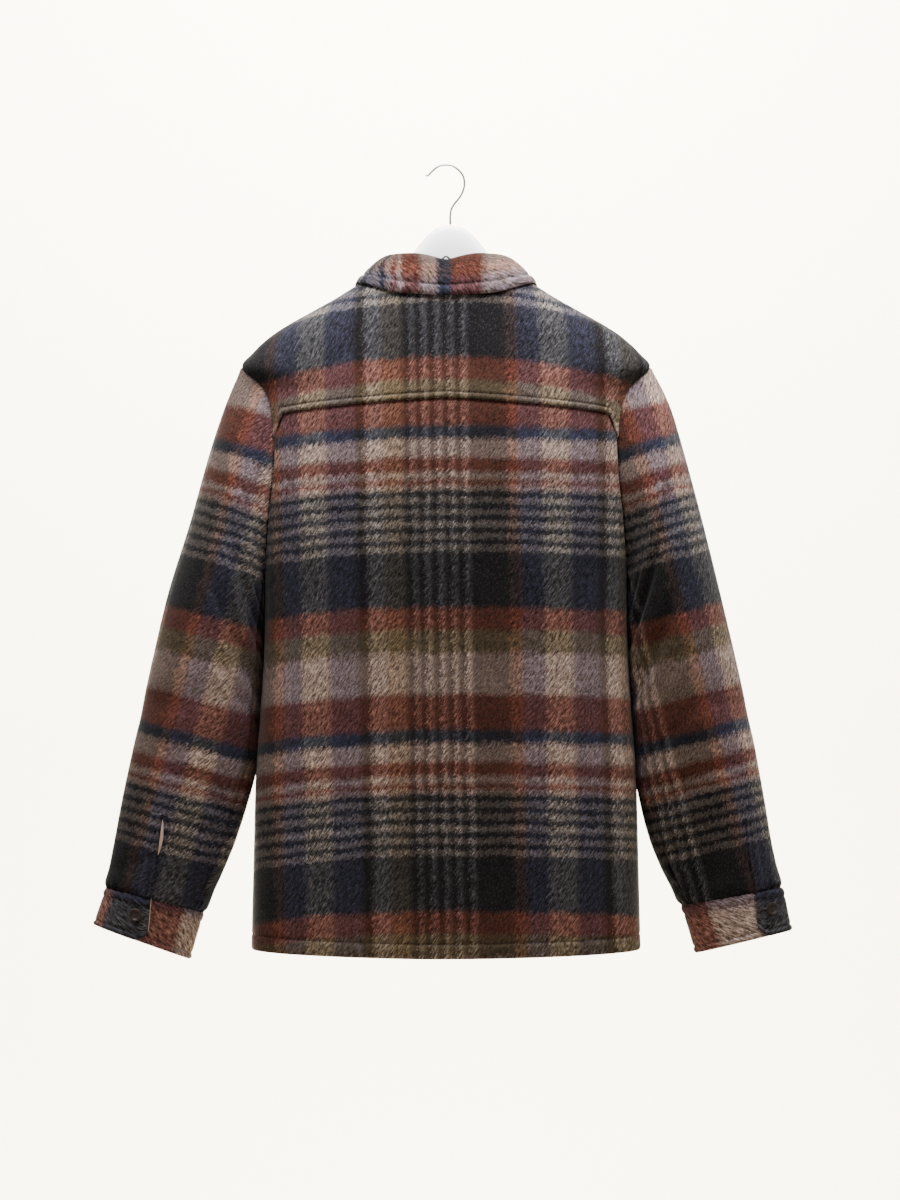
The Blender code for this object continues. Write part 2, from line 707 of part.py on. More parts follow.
def hanger_body():
    """The moulded hanger: a domed middle that runs out into two arms, lofted along its length."""
    mesh = bmesh.new()
    stations = [(-row[0], row) for row in reversed(HANGER[1:])] + [(row[0], row) for row in HANGER]
    loops = []
    around = 16
    for offset, (_, top, half_height, half_depth) in stations:
        ring = bmesh.ops.create_circle(mesh, segments=around, radius=1.0)["verts"]
        for vert in ring:
            deep, high = vert.co.x, vert.co.y
            place = Vector((HANGER_MIDDLE_X + offset, deep * half_depth, top + (high - 1.0) * half_height))
            vert.co = place * MM
        loops.append(ring)
    for first, second in zip(loops, loops[1:]):
        for index in range(around):
            after = (index + 1) % around
            mesh.faces.new((first[index], first[after], second[after], second[index]))
    mesh.faces.new(loops[0])
    mesh.faces.new(loops[-1])
    bmesh.ops.recalc_face_normals(mesh, faces=mesh.faces)
    data = bpy.data.meshes.new("hanger_body")
    mesh.to_mesh(data)
    mesh.free()
    data.shade_smooth()
    return add_object("hanger_body", data, "plastic")


def hang_loop():
    """The tape loop inside the back neck, whose peak shows over the collar."""
    data = bpy.data.curves.new("hang_loop", "CURVE")
    data.dimensions = "2D"
    data.fill_mode = "BOTH"
    data.extrude = 0.5 * LOOP_THICKNESS * MM
    outline = (
        (-LOOP_HALF_WIDTH, LOOP_FOOT_Z), (-5.4, LOOP_TOP_Z - 3.6), (0.0, LOOP_TOP_Z),
        (5.4, LOOP_TOP_Z - 3.6), (LOOP_HALF_WIDTH, LOOP_FOOT_Z),
        (LOOP_HALF_WIDTH - LOOP_TAPE, LOOP_FOOT_Z), (2.9, LOOP_TOP_Z - 5.6), (0.0, LOOP_TOP_Z - LOOP_TAPE),
        (-2.9, LOOP_TOP_Z - 5.6), (LOOP_TAPE - LOOP_HALF_WIDTH, LOOP_FOOT_Z),
    )
    spline = data.splines.new("POLY")
    spline.points.add(len(outline) - 1)
    for (x, z), knot in zip(outline, spline.points):
        knot.co = (x * MM, z * MM, 0.0, 1.0)
    spline.use_cyclic_u = True
    thing = add_object("hang_loop", data, "tape")
    thing.rotation_euler = (math.radians(90.0), 0.0, 0.0)
    thing.location = (0.0, (ROLL_CENTRE_Y - ROLL_HALF_DEPTH + CLOTH + 1.0) * MM, 0.0)
    return thing


wall("back_yoke", yoke_point, len(YOKE_TURNS) - 1, YOKE_ROWS, CLOTH)
wall("back_panel", back_point, len(BACK_SHARES) - 1, len(BACK_HEIGHTS) - 1, CLOTH)
wall("front_left", front_point(-1.0, True), FRONT_COLUMNS, len(FRONT_HEIGHTS) - 1, CLOTH)
wall("front_right", front_point(1.0, False), FRONT_COLUMNS, len(FRONT_HEIGHTS) - 1, CLOTH)
wall("collar_stand", stand_point, COLLAR_COLUMNS, 2, CLOTH)
wall("collar_fall", fall_point, COLLAR_COLUMNS, 6, COLLAR_CLOTH)

for label, table, hand, lap, button_angle in (
    ("left", LEFT_SLEEVE, -1.0, LEFT_LAP_ANGLE, LEFT_BUTTON_ANGLE),
    ("right", RIGHT_SLEEVE, 1.0, RIGHT_LAP_ANGLE, RIGHT_BUTTON_ANGLE),
):
    wall("sleeve_" + label, sleeve_wall(table, hand), 24, 18, CLOTH, closed=True)
    wall("cuff_" + label, cuff_wall(table, hand, lap), 30, 2, CUFF_CLOTH)
    wall("cuff_placket_" + label, placket_wall(table, hand, lap), 2, 6, 1.6)
    button_share = mix(CUFF_START, 1.1, CUFF_BUTTON_SHARE)
    cuff_out = CUFF_CLOTH + LAYER_GAP + 0.6
    seat = sleeve_point(table, hand, button_share, button_angle, cuff_out)
    above = sleeve_point(table, hand, button_share, button_angle, cuff_out + 1.0)
    button("cuff_button_" + label, seat + (above - seat) * 0.2, above - seat)

for index in range(FRONT_BUTTONS):
    button_z = FRONT_BUTTON_TOP_Z - index * FRONT_BUTTON_PITCH
    seat = trunk_point(180.0, button_z, CLOTH + LAYER_GAP)
    above = trunk_point(180.0, button_z, CLOTH + LAYER_GAP + 1.0)
    button("front_button_%d" % (index + 1), seat, above - seat)

wire("hanger_hook", smooth_route(HOOK, 2), HOOK_WIRE, "steel")
hanger_body()
hang_loop()
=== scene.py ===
# %% [markdown]
# A heavy wool shacket hangs on a white hanger with its back towards us. The construction is
# already there as a rigid frame. This lesson dresses it: each cut piece of cloth becomes a thin
# shell on the same form, with seams, welts, soft creases and a woven check. We start by loading
# the frame.

import math

import bmesh
import bpy
import numpy as np
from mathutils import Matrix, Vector


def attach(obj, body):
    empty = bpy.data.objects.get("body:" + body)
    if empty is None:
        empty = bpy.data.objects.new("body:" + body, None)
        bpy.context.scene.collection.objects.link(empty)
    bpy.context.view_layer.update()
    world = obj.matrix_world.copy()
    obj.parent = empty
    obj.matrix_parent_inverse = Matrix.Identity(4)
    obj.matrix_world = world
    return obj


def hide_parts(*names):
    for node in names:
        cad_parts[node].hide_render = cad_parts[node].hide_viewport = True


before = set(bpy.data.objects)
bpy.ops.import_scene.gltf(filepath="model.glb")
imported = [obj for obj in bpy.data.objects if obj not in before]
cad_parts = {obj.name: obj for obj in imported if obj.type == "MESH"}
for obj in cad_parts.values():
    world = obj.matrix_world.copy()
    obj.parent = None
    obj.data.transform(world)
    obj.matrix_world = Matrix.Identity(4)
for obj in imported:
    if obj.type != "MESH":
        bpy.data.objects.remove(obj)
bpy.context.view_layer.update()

MM = 0.001
CLOTH = 2.4
SEAM_GAP = 0.3
LAYER_GAP = 0.5

# %% [markdown]
# The camera stands square to the back, far away, so that the shoulders and the hem keep their
# true widths. The picture is 1320 mm tall where the garment hangs. A far camera with a long lens
# is what a product photographer uses, and it keeps the sleeves from leaning out.

# %% Camera
PICTURE_HEIGHT = 1.320
PICTURE_CENTRE = (0.0044, -0.479)
CAMERA_DISTANCE = 12.0
SENSOR = 36.0

camera_data = bpy.data.cameras.new("camera")
camera_data.sensor_fit = "VERTICAL"
camera_data.sensor_height = SENSOR
camera_data.lens = SENSOR * CAMERA_DISTANCE / PICTURE_HEIGHT
camera = bpy.data.objects.new("camera", camera_data)
camera.location = (PICTURE_CENTRE[0], -CAMERA_DISTANCE - 0.04, PICTURE_CENTRE[1])
camera.rotation_euler = (math.radians(90.0), 0.0, 0.0)
bpy.context.scene.collection.objects.link(camera)
bpy.context.scene.camera = camera
print("lens", round(camera_data.lens, 1), "mm")

# %% [markdown]
# Tables hold the garment's sizes: a row for each section, read on a smooth curve that never
# overshoots. Arrays are read all at once, because each shell has tens of thousands of points.


# %% Read tables smoothly
def table(rows):
    """Prepare a table: its keys, its columns and each column's slopes."""
    data = np.array(sorted(rows), dtype=float)
    keys, columns = data[:, 0], data[:, 1:]
    steps = np.diff(columns, axis=0) / np.diff(keys)[:, None]
    before, after = steps[:-1], steps[1:]
    safe = np.where(before + after == 0.0, 1.0, before + after)
    inner = np.where(before * after > 0.0, 2.0 * before * after / safe, 0.0)
    return keys, columns, np.vstack([steps[:1], inner, steps[-1:]])


def read(prepared, key, column):
    """Read a column of a prepared table at many keys."""
    keys, columns, slopes = prepared
    index = np.clip(np.searchsorted(keys, key) - 1, 0, len(keys) - 2)
    span = keys[index + 1] - keys[index]
    share = np.clip((key - keys[index]) / span, 0.0, 1.0)
    low, high = columns[index, column - 1], columns[index + 1, column - 1]
    start, end = slopes[index, column - 1] * span, slopes[index + 1, column - 1] * span
    cubic = start + end - 2.0 * (high - low)
    square = 3.0 * (high - low) - 2.0 * start - end
    return low + share * (start + share * (square + share * cubic))


def mix(low, high, share):
    """Go from one value to another."""
    return low + (high - low) * share


def ease(share):
    """Go from 0 to 1 with soft ends."""
    share = np.clip(share, 0.0, 1.0)
    return share * share * (3.0 - 2.0 * share)


def bell(distance, reach):
    """A soft hump of height 1."""
    return np.exp(-((distance / reach) ** 2))


def points(*columns):
    """Put columns of numbers together as points."""
    return np.stack(np.broadcast_arrays(*columns), axis=-1)


def unit(vectors):
    """Vectors of length 1 with the same directions."""
    return vectors / np.linalg.norm(vectors, axis=-1, keepdims=True)


def circle(share):
    """Cosine and sine of a share of a full turn."""
    return np.cos(share * 2.0 * np.pi), np.sin(share * 2.0 * np.pi)


def run_along(places):
    """The way along a line of points to each of them."""
    return np.concatenate([[0.0], np.cumsum(np.linalg.norm(np.diff(places, axis=0), axis=1))])


def read_line(where, run, places):
    """Read a line of points at many places along it."""
    return np.stack([np.interp(where, run, column) for column in places.T], axis=-1)


def look_up(grid, row, column):
    """Read a grid of numbers between its rows and columns."""
    low = np.clip(row.astype(int), 0, len(grid) - 2)
    left = np.clip(column.astype(int), 0, grid.shape[1] - 2)
    bottom = mix(grid[low, left], grid[low, left + 1], column - left)
    top = mix(grid[low + 1, left], grid[low + 1, left + 1], column - left)
    return mix(bottom, top, row - low)


print("helpers for tables and curves")


# %% [markdown]
# The trunk is a stack of rounded sections. A point on it is given by its turn, the angle from the
# centre of the back, and its height. These are the sizes of the construction, so that each shell
# lies exactly where its solid lies.

# %% Trunk sizes
# Height, half width, half depth, squareness.
TRUNK = table((
    (-108, 58, 42, 2),
    (-118, 74, 45, 2),
    (-130, 95.7, 49, 2),
    (-146, 121.6, 53, 2),
    (-161, 148.5, 56.5, 2),
    (-177, 177, 60, 2.05),
    (-189, 194.7, 62.5, 2.1),
    (-205, 212, 66, 2.15),
    (-223, 225, 70, 2.2),
    (-235, 216, 73, 2.25),
    (-247, 207.5, 75.5, 2.3),
    (-262, 203, 78.5, 2.45),
    (-285, 200, 82, 2.6),
    (-314, 199, 85.5, 2.8),
    (-345, 199.5, 88, 2.9),
    (-389, 201, 90.5, 3),
    (-436, 200.5, 92, 3),
    (-495, 200, 92, 3),
    (-541, 201, 91.5, 3),
    (-607, 205, 91, 2.95),
    (-664, 209, 90, 2.9),
    (-762, 211.6, 88, 2.8),
    (-880, 214.5, 86, 2.7),
))
# Largest folds: turn, half width in degrees, height, half height, push outwards.
TRUNK_FOLDS = (
    (-27, 9, -640, 190, -4.5),
    (-8, 8, -720, 170, 3.5),
    (22, 9, -600, 200, -4),
    (40, 8, -760, 130, 3.5),
    (-52, 7, -520, 110, -5),
    (55, 7, -530, 120, -5),
    (138, 9, -560, 190, -4.5),
    (-134, 9, -600, 180, -4.5),
    (156, 8, -740, 130, 3.5),
    (-152, 8, -730, 140, 3.5),
)
# Finer creases on each side: x, height, half length, half width, lean, push outwards.
TRUNK_CREASES = {
    "back": (
        (-96, -330, 95, 11, 0.1, -1.7),
        (-78, -360, 80, 10, 0.12, 1.2),
        (62, -420, 120, 14, -0.06, -1.4),
        (-150, -470, 90, 10, -0.35, -2.4),
        (-132, -520, 70, 9, -0.3, 1.6),
        (148, -480, 85, 10, 0.35, -2.2),
        (160, -640, 110, 12, 0.1, -1.8),
        (-165, -690, 120, 12, -0.06, -1.8),
        (-40, -800, 60, 13, 0.05, -1.5),
        (96, -790, 70, 13, -0.05, -1.6),
        (-120, -215, 50, 12, 0.9, -1.6),
        (118, -212, 48, 12, -0.9, -1.5),
        (-60, -180, 38, 9, 0.5, -1),
        (55, -176, 36, 9, -0.5, -1),
    ),
    "front": (
        (-110, -420, 110, 13, 0.12, -2),
        (120, -440, 100, 12, -0.16, -2),
        (-70, -700, 120, 14, -0.05, -1.8),
        (82, -720, 120, 14, 0.05, -1.8),
        (-100, -235, 55, 12, 0.8, -1.6),
        (104, -240, 55, 12, -0.8, -1.6),
    ),
}
TRUNK_MIDDLE = (0.0, 0.0, -500.0)
print(len(TRUNK_FOLDS), "large folds on the trunk")

# %% [markdown]
# One function gives any point of the trunk: a rounded section at each height, pushed in or out by
# the folds and creases. Each of these is a soft bell with a slight bend, so the cloth stays smooth.


# %% Trunk form
def section_value(x, y, z):
    """1 on the trunk's surface, more outside it."""
    power = read(TRUNK, z, 3)
    return (np.abs(x) / read(TRUNK, z, 1)) ** power + (np.abs(y) / read(TRUNK, z, 2)) ** power


def crease_push(x, z, creases):
    """Add up the creases of a list at many places of a flat view."""
    push = np.zeros_like(x)
    for crease_x, crease_z, half_length, half_width, lean, depth in creases:
        along = z - crease_z
        bend = 0.12 * half_width * np.sin(along / half_length * 2.3 + crease_x)
        aside = x - crease_x - lean * along - bend
        push += depth * bell(along, half_length * 0.7) * bell(aside, half_width)
    return push


def trunk(turn, z, out=0.0):
    """Points of the trunk's surface, moved out along its normal."""
    half_width, half_depth, power = [read(TRUNK, z, column) for column in (1, 2, 3)]
    sine, cosine = np.sin(np.radians(turn)), np.cos(np.radians(turn))
    reach = (np.abs(sine) ** power + np.abs(cosine) ** power) ** (-1.0 / power)
    across, deep = reach * sine, -reach * cosine
    x, y = half_width * across, half_depth * deep
    normal = unit(points(
        np.copysign(power * np.abs(across) ** (power - 1.0) / half_width, across),
        np.copysign(power * np.abs(deep) ** (power - 1.0) / half_depth, deep),
        (section_value(x, y, z + 1.0) - section_value(x, y, z - 1.0)) / 2.0))
    push = np.zeros_like(x)
    for fold_turn, half_turn, fold_z, half_height, depth in TRUNK_FOLDS:
        push += depth * bell(turn - fold_turn, half_turn) * bell(z - fold_z, half_height)
    back, front = [crease_push(x, z, TRUNK_CREASES[side]) for side in ("back", "front")]
    push += np.where(cosine > 0.0, back, front) * ease((np.abs(cosine) - 0.25) / 0.35)
    return points(x, y, z) + normal * (out + push)[..., None]


print("trunk form ready")

# %% [markdown]
# Seams are lines on that form. Each is a height for a turn, or a turn for a height, and the same
# lines bound the pieces on both sides, so neighbours always meet.

# %% Seam lines of the trunk
NECK_BACK_Z, NECK_SIDE_Z, NECK_FRONT_Z = -132.0, -124.0, -185.0
YOKE_CENTRE_Z, YOKE_DROOP, YOKE_CORNER_DROP = -257.0, 18.5, 24.0
YOKE_FRONT_TURN = 104.0
HEM_CENTRE_Z, HEM_SIDE_RISE = -873.0, 9.0
ARMHOLE_TOP_Z, ARMHOLE_BOTTOM_Z, ARMHOLE_HALF_DEPTH = -223.0, -468.0, 42.0
ARMHOLE_MIDDLE = (ARMHOLE_TOP_Z + ARMHOLE_BOTTOM_Z) / 2.0
ARMHOLE_HALF_HEIGHT = (ARMHOLE_TOP_Z - ARMHOLE_BOTTOM_Z) / 2.0


def armhole_turn(z):
    """The turn of the armhole's back edge, 90 above and below the armhole."""
    share = np.minimum(np.abs(z - ARMHOLE_MIDDLE) / ARMHOLE_HALF_HEIGHT, 1.0)
    deep = ARMHOLE_HALF_DEPTH * np.sqrt(1.0 - share * share) / read(TRUNK, z, 2)
    power = read(TRUNK, z, 3)
    return np.degrees(np.arctan2((1.0 - deep ** power) ** (1.0 / power), deep))


def armhole_top_z(turn):
    """The height at which the upper armhole passes a turn near the side."""
    wanted = 90.0 - np.abs(90.0 - np.abs(turn))
    high = np.full_like(wanted, ARMHOLE_TOP_Z)
    low = np.full_like(wanted, ARMHOLE_MIDDLE)
    for _ in range(40):
        middle = (high + low) / 2.0
        above = armhole_turn(middle) > wanted
        high, low = np.where(above, middle, high), np.where(above, low, middle)
    return high


def neck_z(turn):
    """Height of the neck seam."""
    off = np.abs(turn)
    back = mix(NECK_BACK_Z, NECK_SIDE_Z, (np.minimum(off, 90.0) / 90.0) ** 2)
    front = mix(NECK_SIDE_Z, NECK_FRONT_Z, np.clip((off - 90.0) / 90.0, 0.0, 1.0) ** 2.5)
    return np.where(off <= 90.0, back, front)


def yoke_z(turn):
    """Height of the yoke's lower seam, which turns down round a corner at each armhole."""
    slope = YOKE_DROOP * np.minimum(np.abs(turn) / 60.0, 1.0) ** 1.3
    return YOKE_CENTRE_Z - slope - YOKE_CORNER_DROP * ease((np.abs(turn) - 56.0) / 8.0)


def yoke_lean(turn):
    """How much shorter the way straight to the yoke's seam is than the way down to it."""
    slope = (yoke_z(turn + 0.4) - yoke_z(turn - 0.4)) / (0.8 * 3.2)
    return 1.0 / np.sqrt(1.0 + slope * slope)


def hem_z(turn):
    """Height of the hem."""
    return HEM_CENTRE_Z + HEM_SIDE_RISE * np.sin(np.radians(turn)) ** 2


CORNER_TURN = 66.0
for _ in range(30):
    CORNER_TURN = float(armhole_turn(yoke_z(np.array(CORNER_TURN))))
SHOULDER_END_Z = float(armhole_top_z(np.array([YOKE_FRONT_TURN]))[0])
print("yoke corner at turn", round(CORNER_TURN, 2), "shoulder end at", round(SHOULDER_END_Z, 1))

# %% [markdown]
# A sleeve is a tube of oval rings strung along the arm. The table gives where its outer and inner
# edges run in the front view, and how deep it is. Its first ring lies on the armhole. Angle 0 is
# the outer edge, 90 the back and 180 the inner edge. The underarm seam runs a little behind that.

# %% Sleeve sizes
# Share of the length, outer x and z, inner x and z, half depth, centre y.
SLEEVES = {
    "left": table((
        (0, 224, -221.5, 199, -469.5, 42, 0),
        (0.06, 240, -255, 201, -482, 53, 1),
        (0.16, 262, -320, 201.5, -502, 61, 2),
        (0.28, 283, -395, 202, -532, 62, 2),
        (0.4, 307, -472, 204.5, -576, 59, 2),
        (0.52, 325, -548, 208, -620, 55, 3),
        (0.66, 343, -630, 214, -672, 49, 4),
        (0.78, 357, -695, 224, -722, 43, 5),
        (0.89, 367, -748, 243, -772, 36, 6),
        (1, 377, -796, 266, -824, 31, 7),
        (1.1, 390, -837, 282, -875.6, 29, 8),
    )),
    "right": table((
        (0, 224, -221.5, 199, -469.5, 42, 0),
        (0.06, 244, -256, 201, -482, 53, 1),
        (0.16, 264, -320, 202.5, -502, 61, 2),
        (0.28, 284, -395, 203, -532, 62, 2),
        (0.4, 303, -472, 204.5, -576, 59, 2),
        (0.52, 321, -548, 207, -620, 55, 3),
        (0.66, 339, -630, 211.5, -672, 49, 4),
        (0.78, 351, -695, 218, -722, 43, 5),
        (0.89, 360, -748, 236, -772, 36, 6),
        (1, 371, -796, 258, -816, 31, 7),
        (1.1, 382, -843, 275, -869, 29, 8),
    )),
}
HANDS = {"left": -1.0, "right": 1.0}
LAP_ANGLES = {"left": 86.0, "right": 63.0}
LAP_SLANT = 8.0
SLEEVE_START, CUFF_START, CUFF_END = 0.003, 1.0008, 1.1
ARMHOLE_FADE = 0.11
SLEEVE_CLEAR = -1.0
UNDERARM_EASE = 4.0
# Largest folds: share, half length, angle, half width, tilt, push outwards.
SLEEVE_FOLDS = (
    (0.2, 0.03, 105, 60, 0.001, -4),
    (0.38, 0.035, 125, 55, 0.0012, -4.5),
    (0.56, 0.035, 60, 50, -0.001, -3.5),
    (0.74, 0.03, 120, 50, 0.001, -3.5),
    (0.3, 0.035, 260, 55, -0.001, -4),
    (0.62, 0.035, 250, 55, 0.001, -4),
)
# Finer creases, in the same columns, for each hand.
SLEEVE_CREASES = {
    "left": (
        (0.13, 0.016, 120, 38, 0.0012, -2),
        (0.29, 0.018, 140, 36, 0.0014, -2.4),
        (0.34, 0.014, 75, 30, 0.001, 1.6),
        (0.47, 0.018, 130, 38, 0.0013, -2.2),
        (0.52, 0.014, 95, 30, 0.0011, 1.4),
        (0.65, 0.017, 85, 34, -0.0009, -1.8),
        (0.83, 0.017, 125, 34, 0.0012, -1.8),
        (0.92, 0.014, 60, 30, -0.001, -1.4),
        (0.25, 0.016, 280, 40, 0.001, -2.2),
        (0.5, 0.018, 240, 40, -0.0011, -2.4),
        (0.78, 0.016, 265, 40, 0.001, -2),
    ),
    "right": (
        (0.12, 0.016, 125, 36, 0.0012, -2),
        (0.26, 0.017, 145, 36, 0.0013, -2.2),
        (0.41, 0.019, 130, 36, 0.0012, -2.2),
        (0.46, 0.013, 80, 30, 0.001, 1.5),
        (0.6, 0.018, 120, 36, 0.0011, -2.2),
        (0.7, 0.015, 70, 30, -0.001, -1.6),
        (0.86, 0.016, 130, 32, 0.0012, -1.8),
        (0.28, 0.017, 275, 40, -0.001, -2.2),
        (0.55, 0.018, 245, 40, 0.0011, -2.4),
        (0.8, 0.016, 260, 40, -0.001, -2),
    ),
}
print(len(SLEEVE_FOLDS), "large folds on each sleeve")

# %% [markdown]
# The sleeve's form starts on the armhole, leaves it softly, and never runs into the trunk.


# %% Sleeve form
def sleeve_ring(hand, share, angle):
    """Points of a sleeve's surface, before its folds."""
    rows = SLEEVES[hand]
    around = np.radians(angle)
    outer_x, outer_z, inner_x, inner_z, deep, middle_y = [read(rows, share, c) for c in range(1, 7)]
    inner_x = inner_x - UNDERARM_EASE * (1.0 - ease((share - 0.64) / 0.14))
    inner_x = np.maximum(inner_x, read(TRUNK, inner_z, 1) + SLEEVE_CLEAR)
    along = (np.cos(around) + 1.0) / 2.0
    x = mix(inner_x, outer_x, along)
    y = middle_y - deep * np.sin(around)
    z = mix(inner_z, outer_z, along)
    armhole_z = ARMHOLE_MIDDLE + ARMHOLE_HALF_HEIGHT * np.cos(around)
    edge = armhole_turn(armhole_z)
    turn = np.where(np.sin(around) >= 0.0, edge, 180.0 - edge)
    on_trunk = trunk(turn, armhole_z, LAYER_GAP + SEAM_GAP)
    fade = np.where(share < ARMHOLE_FADE, 1.0 - ease(share / ARMHOLE_FADE), 0.0)
    x = mix(x, on_trunk[..., 0], fade * fade)
    y = mix(y, on_trunk[..., 1], fade)
    z = mix(z, on_trunk[..., 2], fade * fade)
    return points(HANDS[hand] * x, y, z)


def sleeve_fold(share, angle, folds):
    """How far a list of folds pushes a sleeve outwards."""
    push = np.zeros_like(share)
    for fold_share, half_length, fold_angle, half_width, tilt, depth in folds:
        off = (angle - fold_angle + 180.0) % 360.0 - 180.0
        push += depth * bell(share - fold_share - tilt * off, half_length) * bell(off, half_width)
    return push


def sleeve(hand, share, angle, out=0.0):
    """Points of a sleeve moved out along the normal of its surface."""
    here = sleeve_ring(hand, share, angle)
    further = sleeve_ring(hand, np.minimum(share + 0.004, CUFF_END), angle)
    ahead = further - sleeve_ring(hand, share - 0.004, angle)
    round_it = sleeve_ring(hand, share, angle + 1.0) - sleeve_ring(hand, share, angle - 1.0)
    normal = unit(np.cross(round_it, ahead) * HANDS[hand])
    push = sum(sleeve_fold(share, angle, folds) for folds in (SLEEVE_FOLDS, SLEEVE_CREASES[hand]))
    return here + normal * (out + push * ease((share - 0.05) / 0.1))[..., None]


print("sleeve form ready")

# %% [markdown]
# The cloth is a woven check: coloured warp threads run up and down, weft threads run across, and
# each place shows both. So two colour charts are enough, one for each direction, written as a
# list of stripes with their widths. A brushed twill blurs every edge and breaks the fine lines
# into slanting flecks, so the shader shifts the coordinates a little with noise before it reads
# the charts, and lets a slanted noise decide which thread lies on top.

# %% Check charts
# What the weft yarn looks like where it crosses a charcoal warp.
WEFT_YARN = {
    "rust": (0.0330, 0.0112, 0.0074),
    "navy": (0.0068, 0.0070, 0.0100),
    "light": (0.0680, 0.0485, 0.0410),
    "line": (0.0520, 0.0430, 0.0385),
    "ink": (0.0050, 0.0046, 0.0053),
    "olive": (0.0330, 0.0235, 0.0138),
}
# How much each warp yarn brightens what the charcoal one would show.
WARP_YARN = {
    "charcoal": (1.00, 1.00, 1.00),
    "navy": (1.35, 1.38, 1.65),
    "beige": (2.35, 2.32, 2.20),
    "orange": (1.60, 1.32, 1.22),
    "ochre": (1.90, 1.80, 1.55),
    "line": (2.30, 2.28, 2.20),
}
WARP_BODY = (0.0095, 0.0100, 0.0120)
TINT_TOP = 4.0
# Stripes of the warp from left to right and of the weft from top to bottom: yarn and millimetres.
WARP_CHART = (
    [("orange", 12.1), ("navy", 24.6), ("beige", 30.8), ("navy", 33.0), ("charcoal", 10.8)]
    + [("beige", 18.5), ("ochre", 22.0)]
    + [("charcoal", 9.0), ("line", 5.0)] * 5
    + [("charcoal", 43.5)]
)
WEFT_CHART = (
    [("rust", 39.0), ("navy", 13.4), ("light", 21.0), ("rust", 15.4), ("light", 7.7), ("rust", 6.6)]
    + [("light", 5.5)]
    + [("ink", 9.0), ("line", 4.4)] * 5
    + [("ink", 62.7), ("rust", 24.2), ("olive", 24.2), ("light", 46.7)]
)
WARP_REPEAT = sum(width for _, width in WARP_CHART)
WEFT_REPEAT = sum(width for _, width in WEFT_CHART)
print("check repeat", round(WARP_REPEAT, 1), "by", round(WEFT_REPEAT, 1), "mm")


def chart_stops(chart, repeat, yarns, top=1.0):
    """Turn a list of stripes into the stops of a colour ramp."""
    stops, edge = [], 0.0
    for yarn, width in chart:
        stops.append((edge / repeat, tuple(value / top for value in yarns[yarn]) + (1.0,)))
        edge += width
    return stops


# %% [markdown]
# Shader maths reads best as plain expressions. A small class wraps a socket and adds a Math node
# for each operator, and one method of the finish makes any other node.


# %% Shader helpers
class Signal:
    """A number that varies over a surface. An expression on it adds Math nodes."""

    def __init__(self, finish, socket):
        self.finish = finish
        self.socket = socket

    def maths(self, operation, first, second, clamp=False):
        """Add one Math node."""
        settings = {"operation": operation, "use_clamp": clamp}
        made = self.finish.node("ShaderNodeMath", settings, {0: first, 1: second})
        return Signal(self.finish, made.outputs[0])

    def __add__(self, other):
        return self.maths("ADD", self, other)

    def __radd__(self, other):
        return self.maths("ADD", other, self)

    def __sub__(self, other):
        return self.maths("SUBTRACT", self, other)

    def __rsub__(self, other):
        return self.maths("SUBTRACT", other, self)

    def __mul__(self, other):
        return self.maths("MULTIPLY", self, other)

    def __mod__(self, other):
        return self.maths("FLOORED_MODULO", self, other)

    def limited(self):
        """Keep the number between 0 and 1."""
        return self.maths("ADD", self, 0.0, clamp=True)


class Finish:
    """A material with one Principled shader."""

    def __init__(self, name):
        self.material = bpy.data.materials.new(name)
        self.material.use_nodes = True
        self.nodes = self.material.node_tree.nodes
        self.links = self.material.node_tree.links
        self.shader = self.nodes["Principled BSDF"]

    def node(self, kind, settings, inputs):
        """Add a node: its settings or a ramp's stops first, then its sockets' values or links."""
        made = self.nodes.new(kind)
        for key, value in settings.items():
            if key == "stops":
                while len(made.color_ramp.elements) < len(value):
                    made.color_ramp.elements.new(0.5)
                for element, (position, colour) in zip(made.color_ramp.elements, value):
                    element.position = position
                    element.color = colour
            elif key == "interpolation":
                made.color_ramp.interpolation = value
            else:
                setattr(made, key, value)
        for key, value in inputs.items():
            self.feed(made.inputs[key], value)
        return made

    def feed(self, socket, value):
        """Give a socket a link or a value."""
        if isinstance(value, Signal):
            self.links.new(value.socket, socket)
        elif isinstance(value, bpy.types.NodeSocket):
            self.links.new(value, socket)
        else:
            socket.default_value = value

    def set(self, **values):
        """Give the shader's sockets their values or links."""
        for key, value in values.items():
            self.feed(self.shader.inputs[key.replace("_", " ")], value)

    def noise(self, place, scale, detail=2.0):
        """A noise between 0 and 1, as its colour and its number."""
        inputs = {"Vector": place, "Scale": scale, "Detail": detail}
        made = self.node("ShaderNodeTexNoise", {}, inputs)
        return made.outputs["Color"], Signal(self, made.outputs["Fac"])

    def split(self, vector):
        """The three numbers of a vector or colour."""
        made = self.node("ShaderNodeSeparateXYZ", {}, {0: vector})
        return [Signal(self, socket) for socket in made.outputs]

    def join(self, x, y, z=0.0):
        """A vector of three numbers."""
        return self.node("ShaderNodeCombineXYZ", {}, {0: x, 1: y, 2: z}).outputs[0]

    def vector(self, operation, first, second):
        """Work out a sum or product of two colours."""
        settings = {"operation": operation}
        return self.node("ShaderNodeVectorMath", settings, {0: first, 1: second}).outputs[0]

    def blend(self, share, first, second):
        """Mix two colours."""
        settings = {"data_type": "RGBA", "clamp_factor": True}
        return self.node("ShaderNodeMix", settings, {0: share, 6: first, 7: second}).outputs[2]

    def bump(self, height, distance, strength):
        """Make a surface's small relief."""
        inputs = {"Height": height, "Distance": distance, "Strength": strength}
        return self.node("ShaderNodeBump", {}, inputs).outputs["Normal"]


print("shader helpers ready")

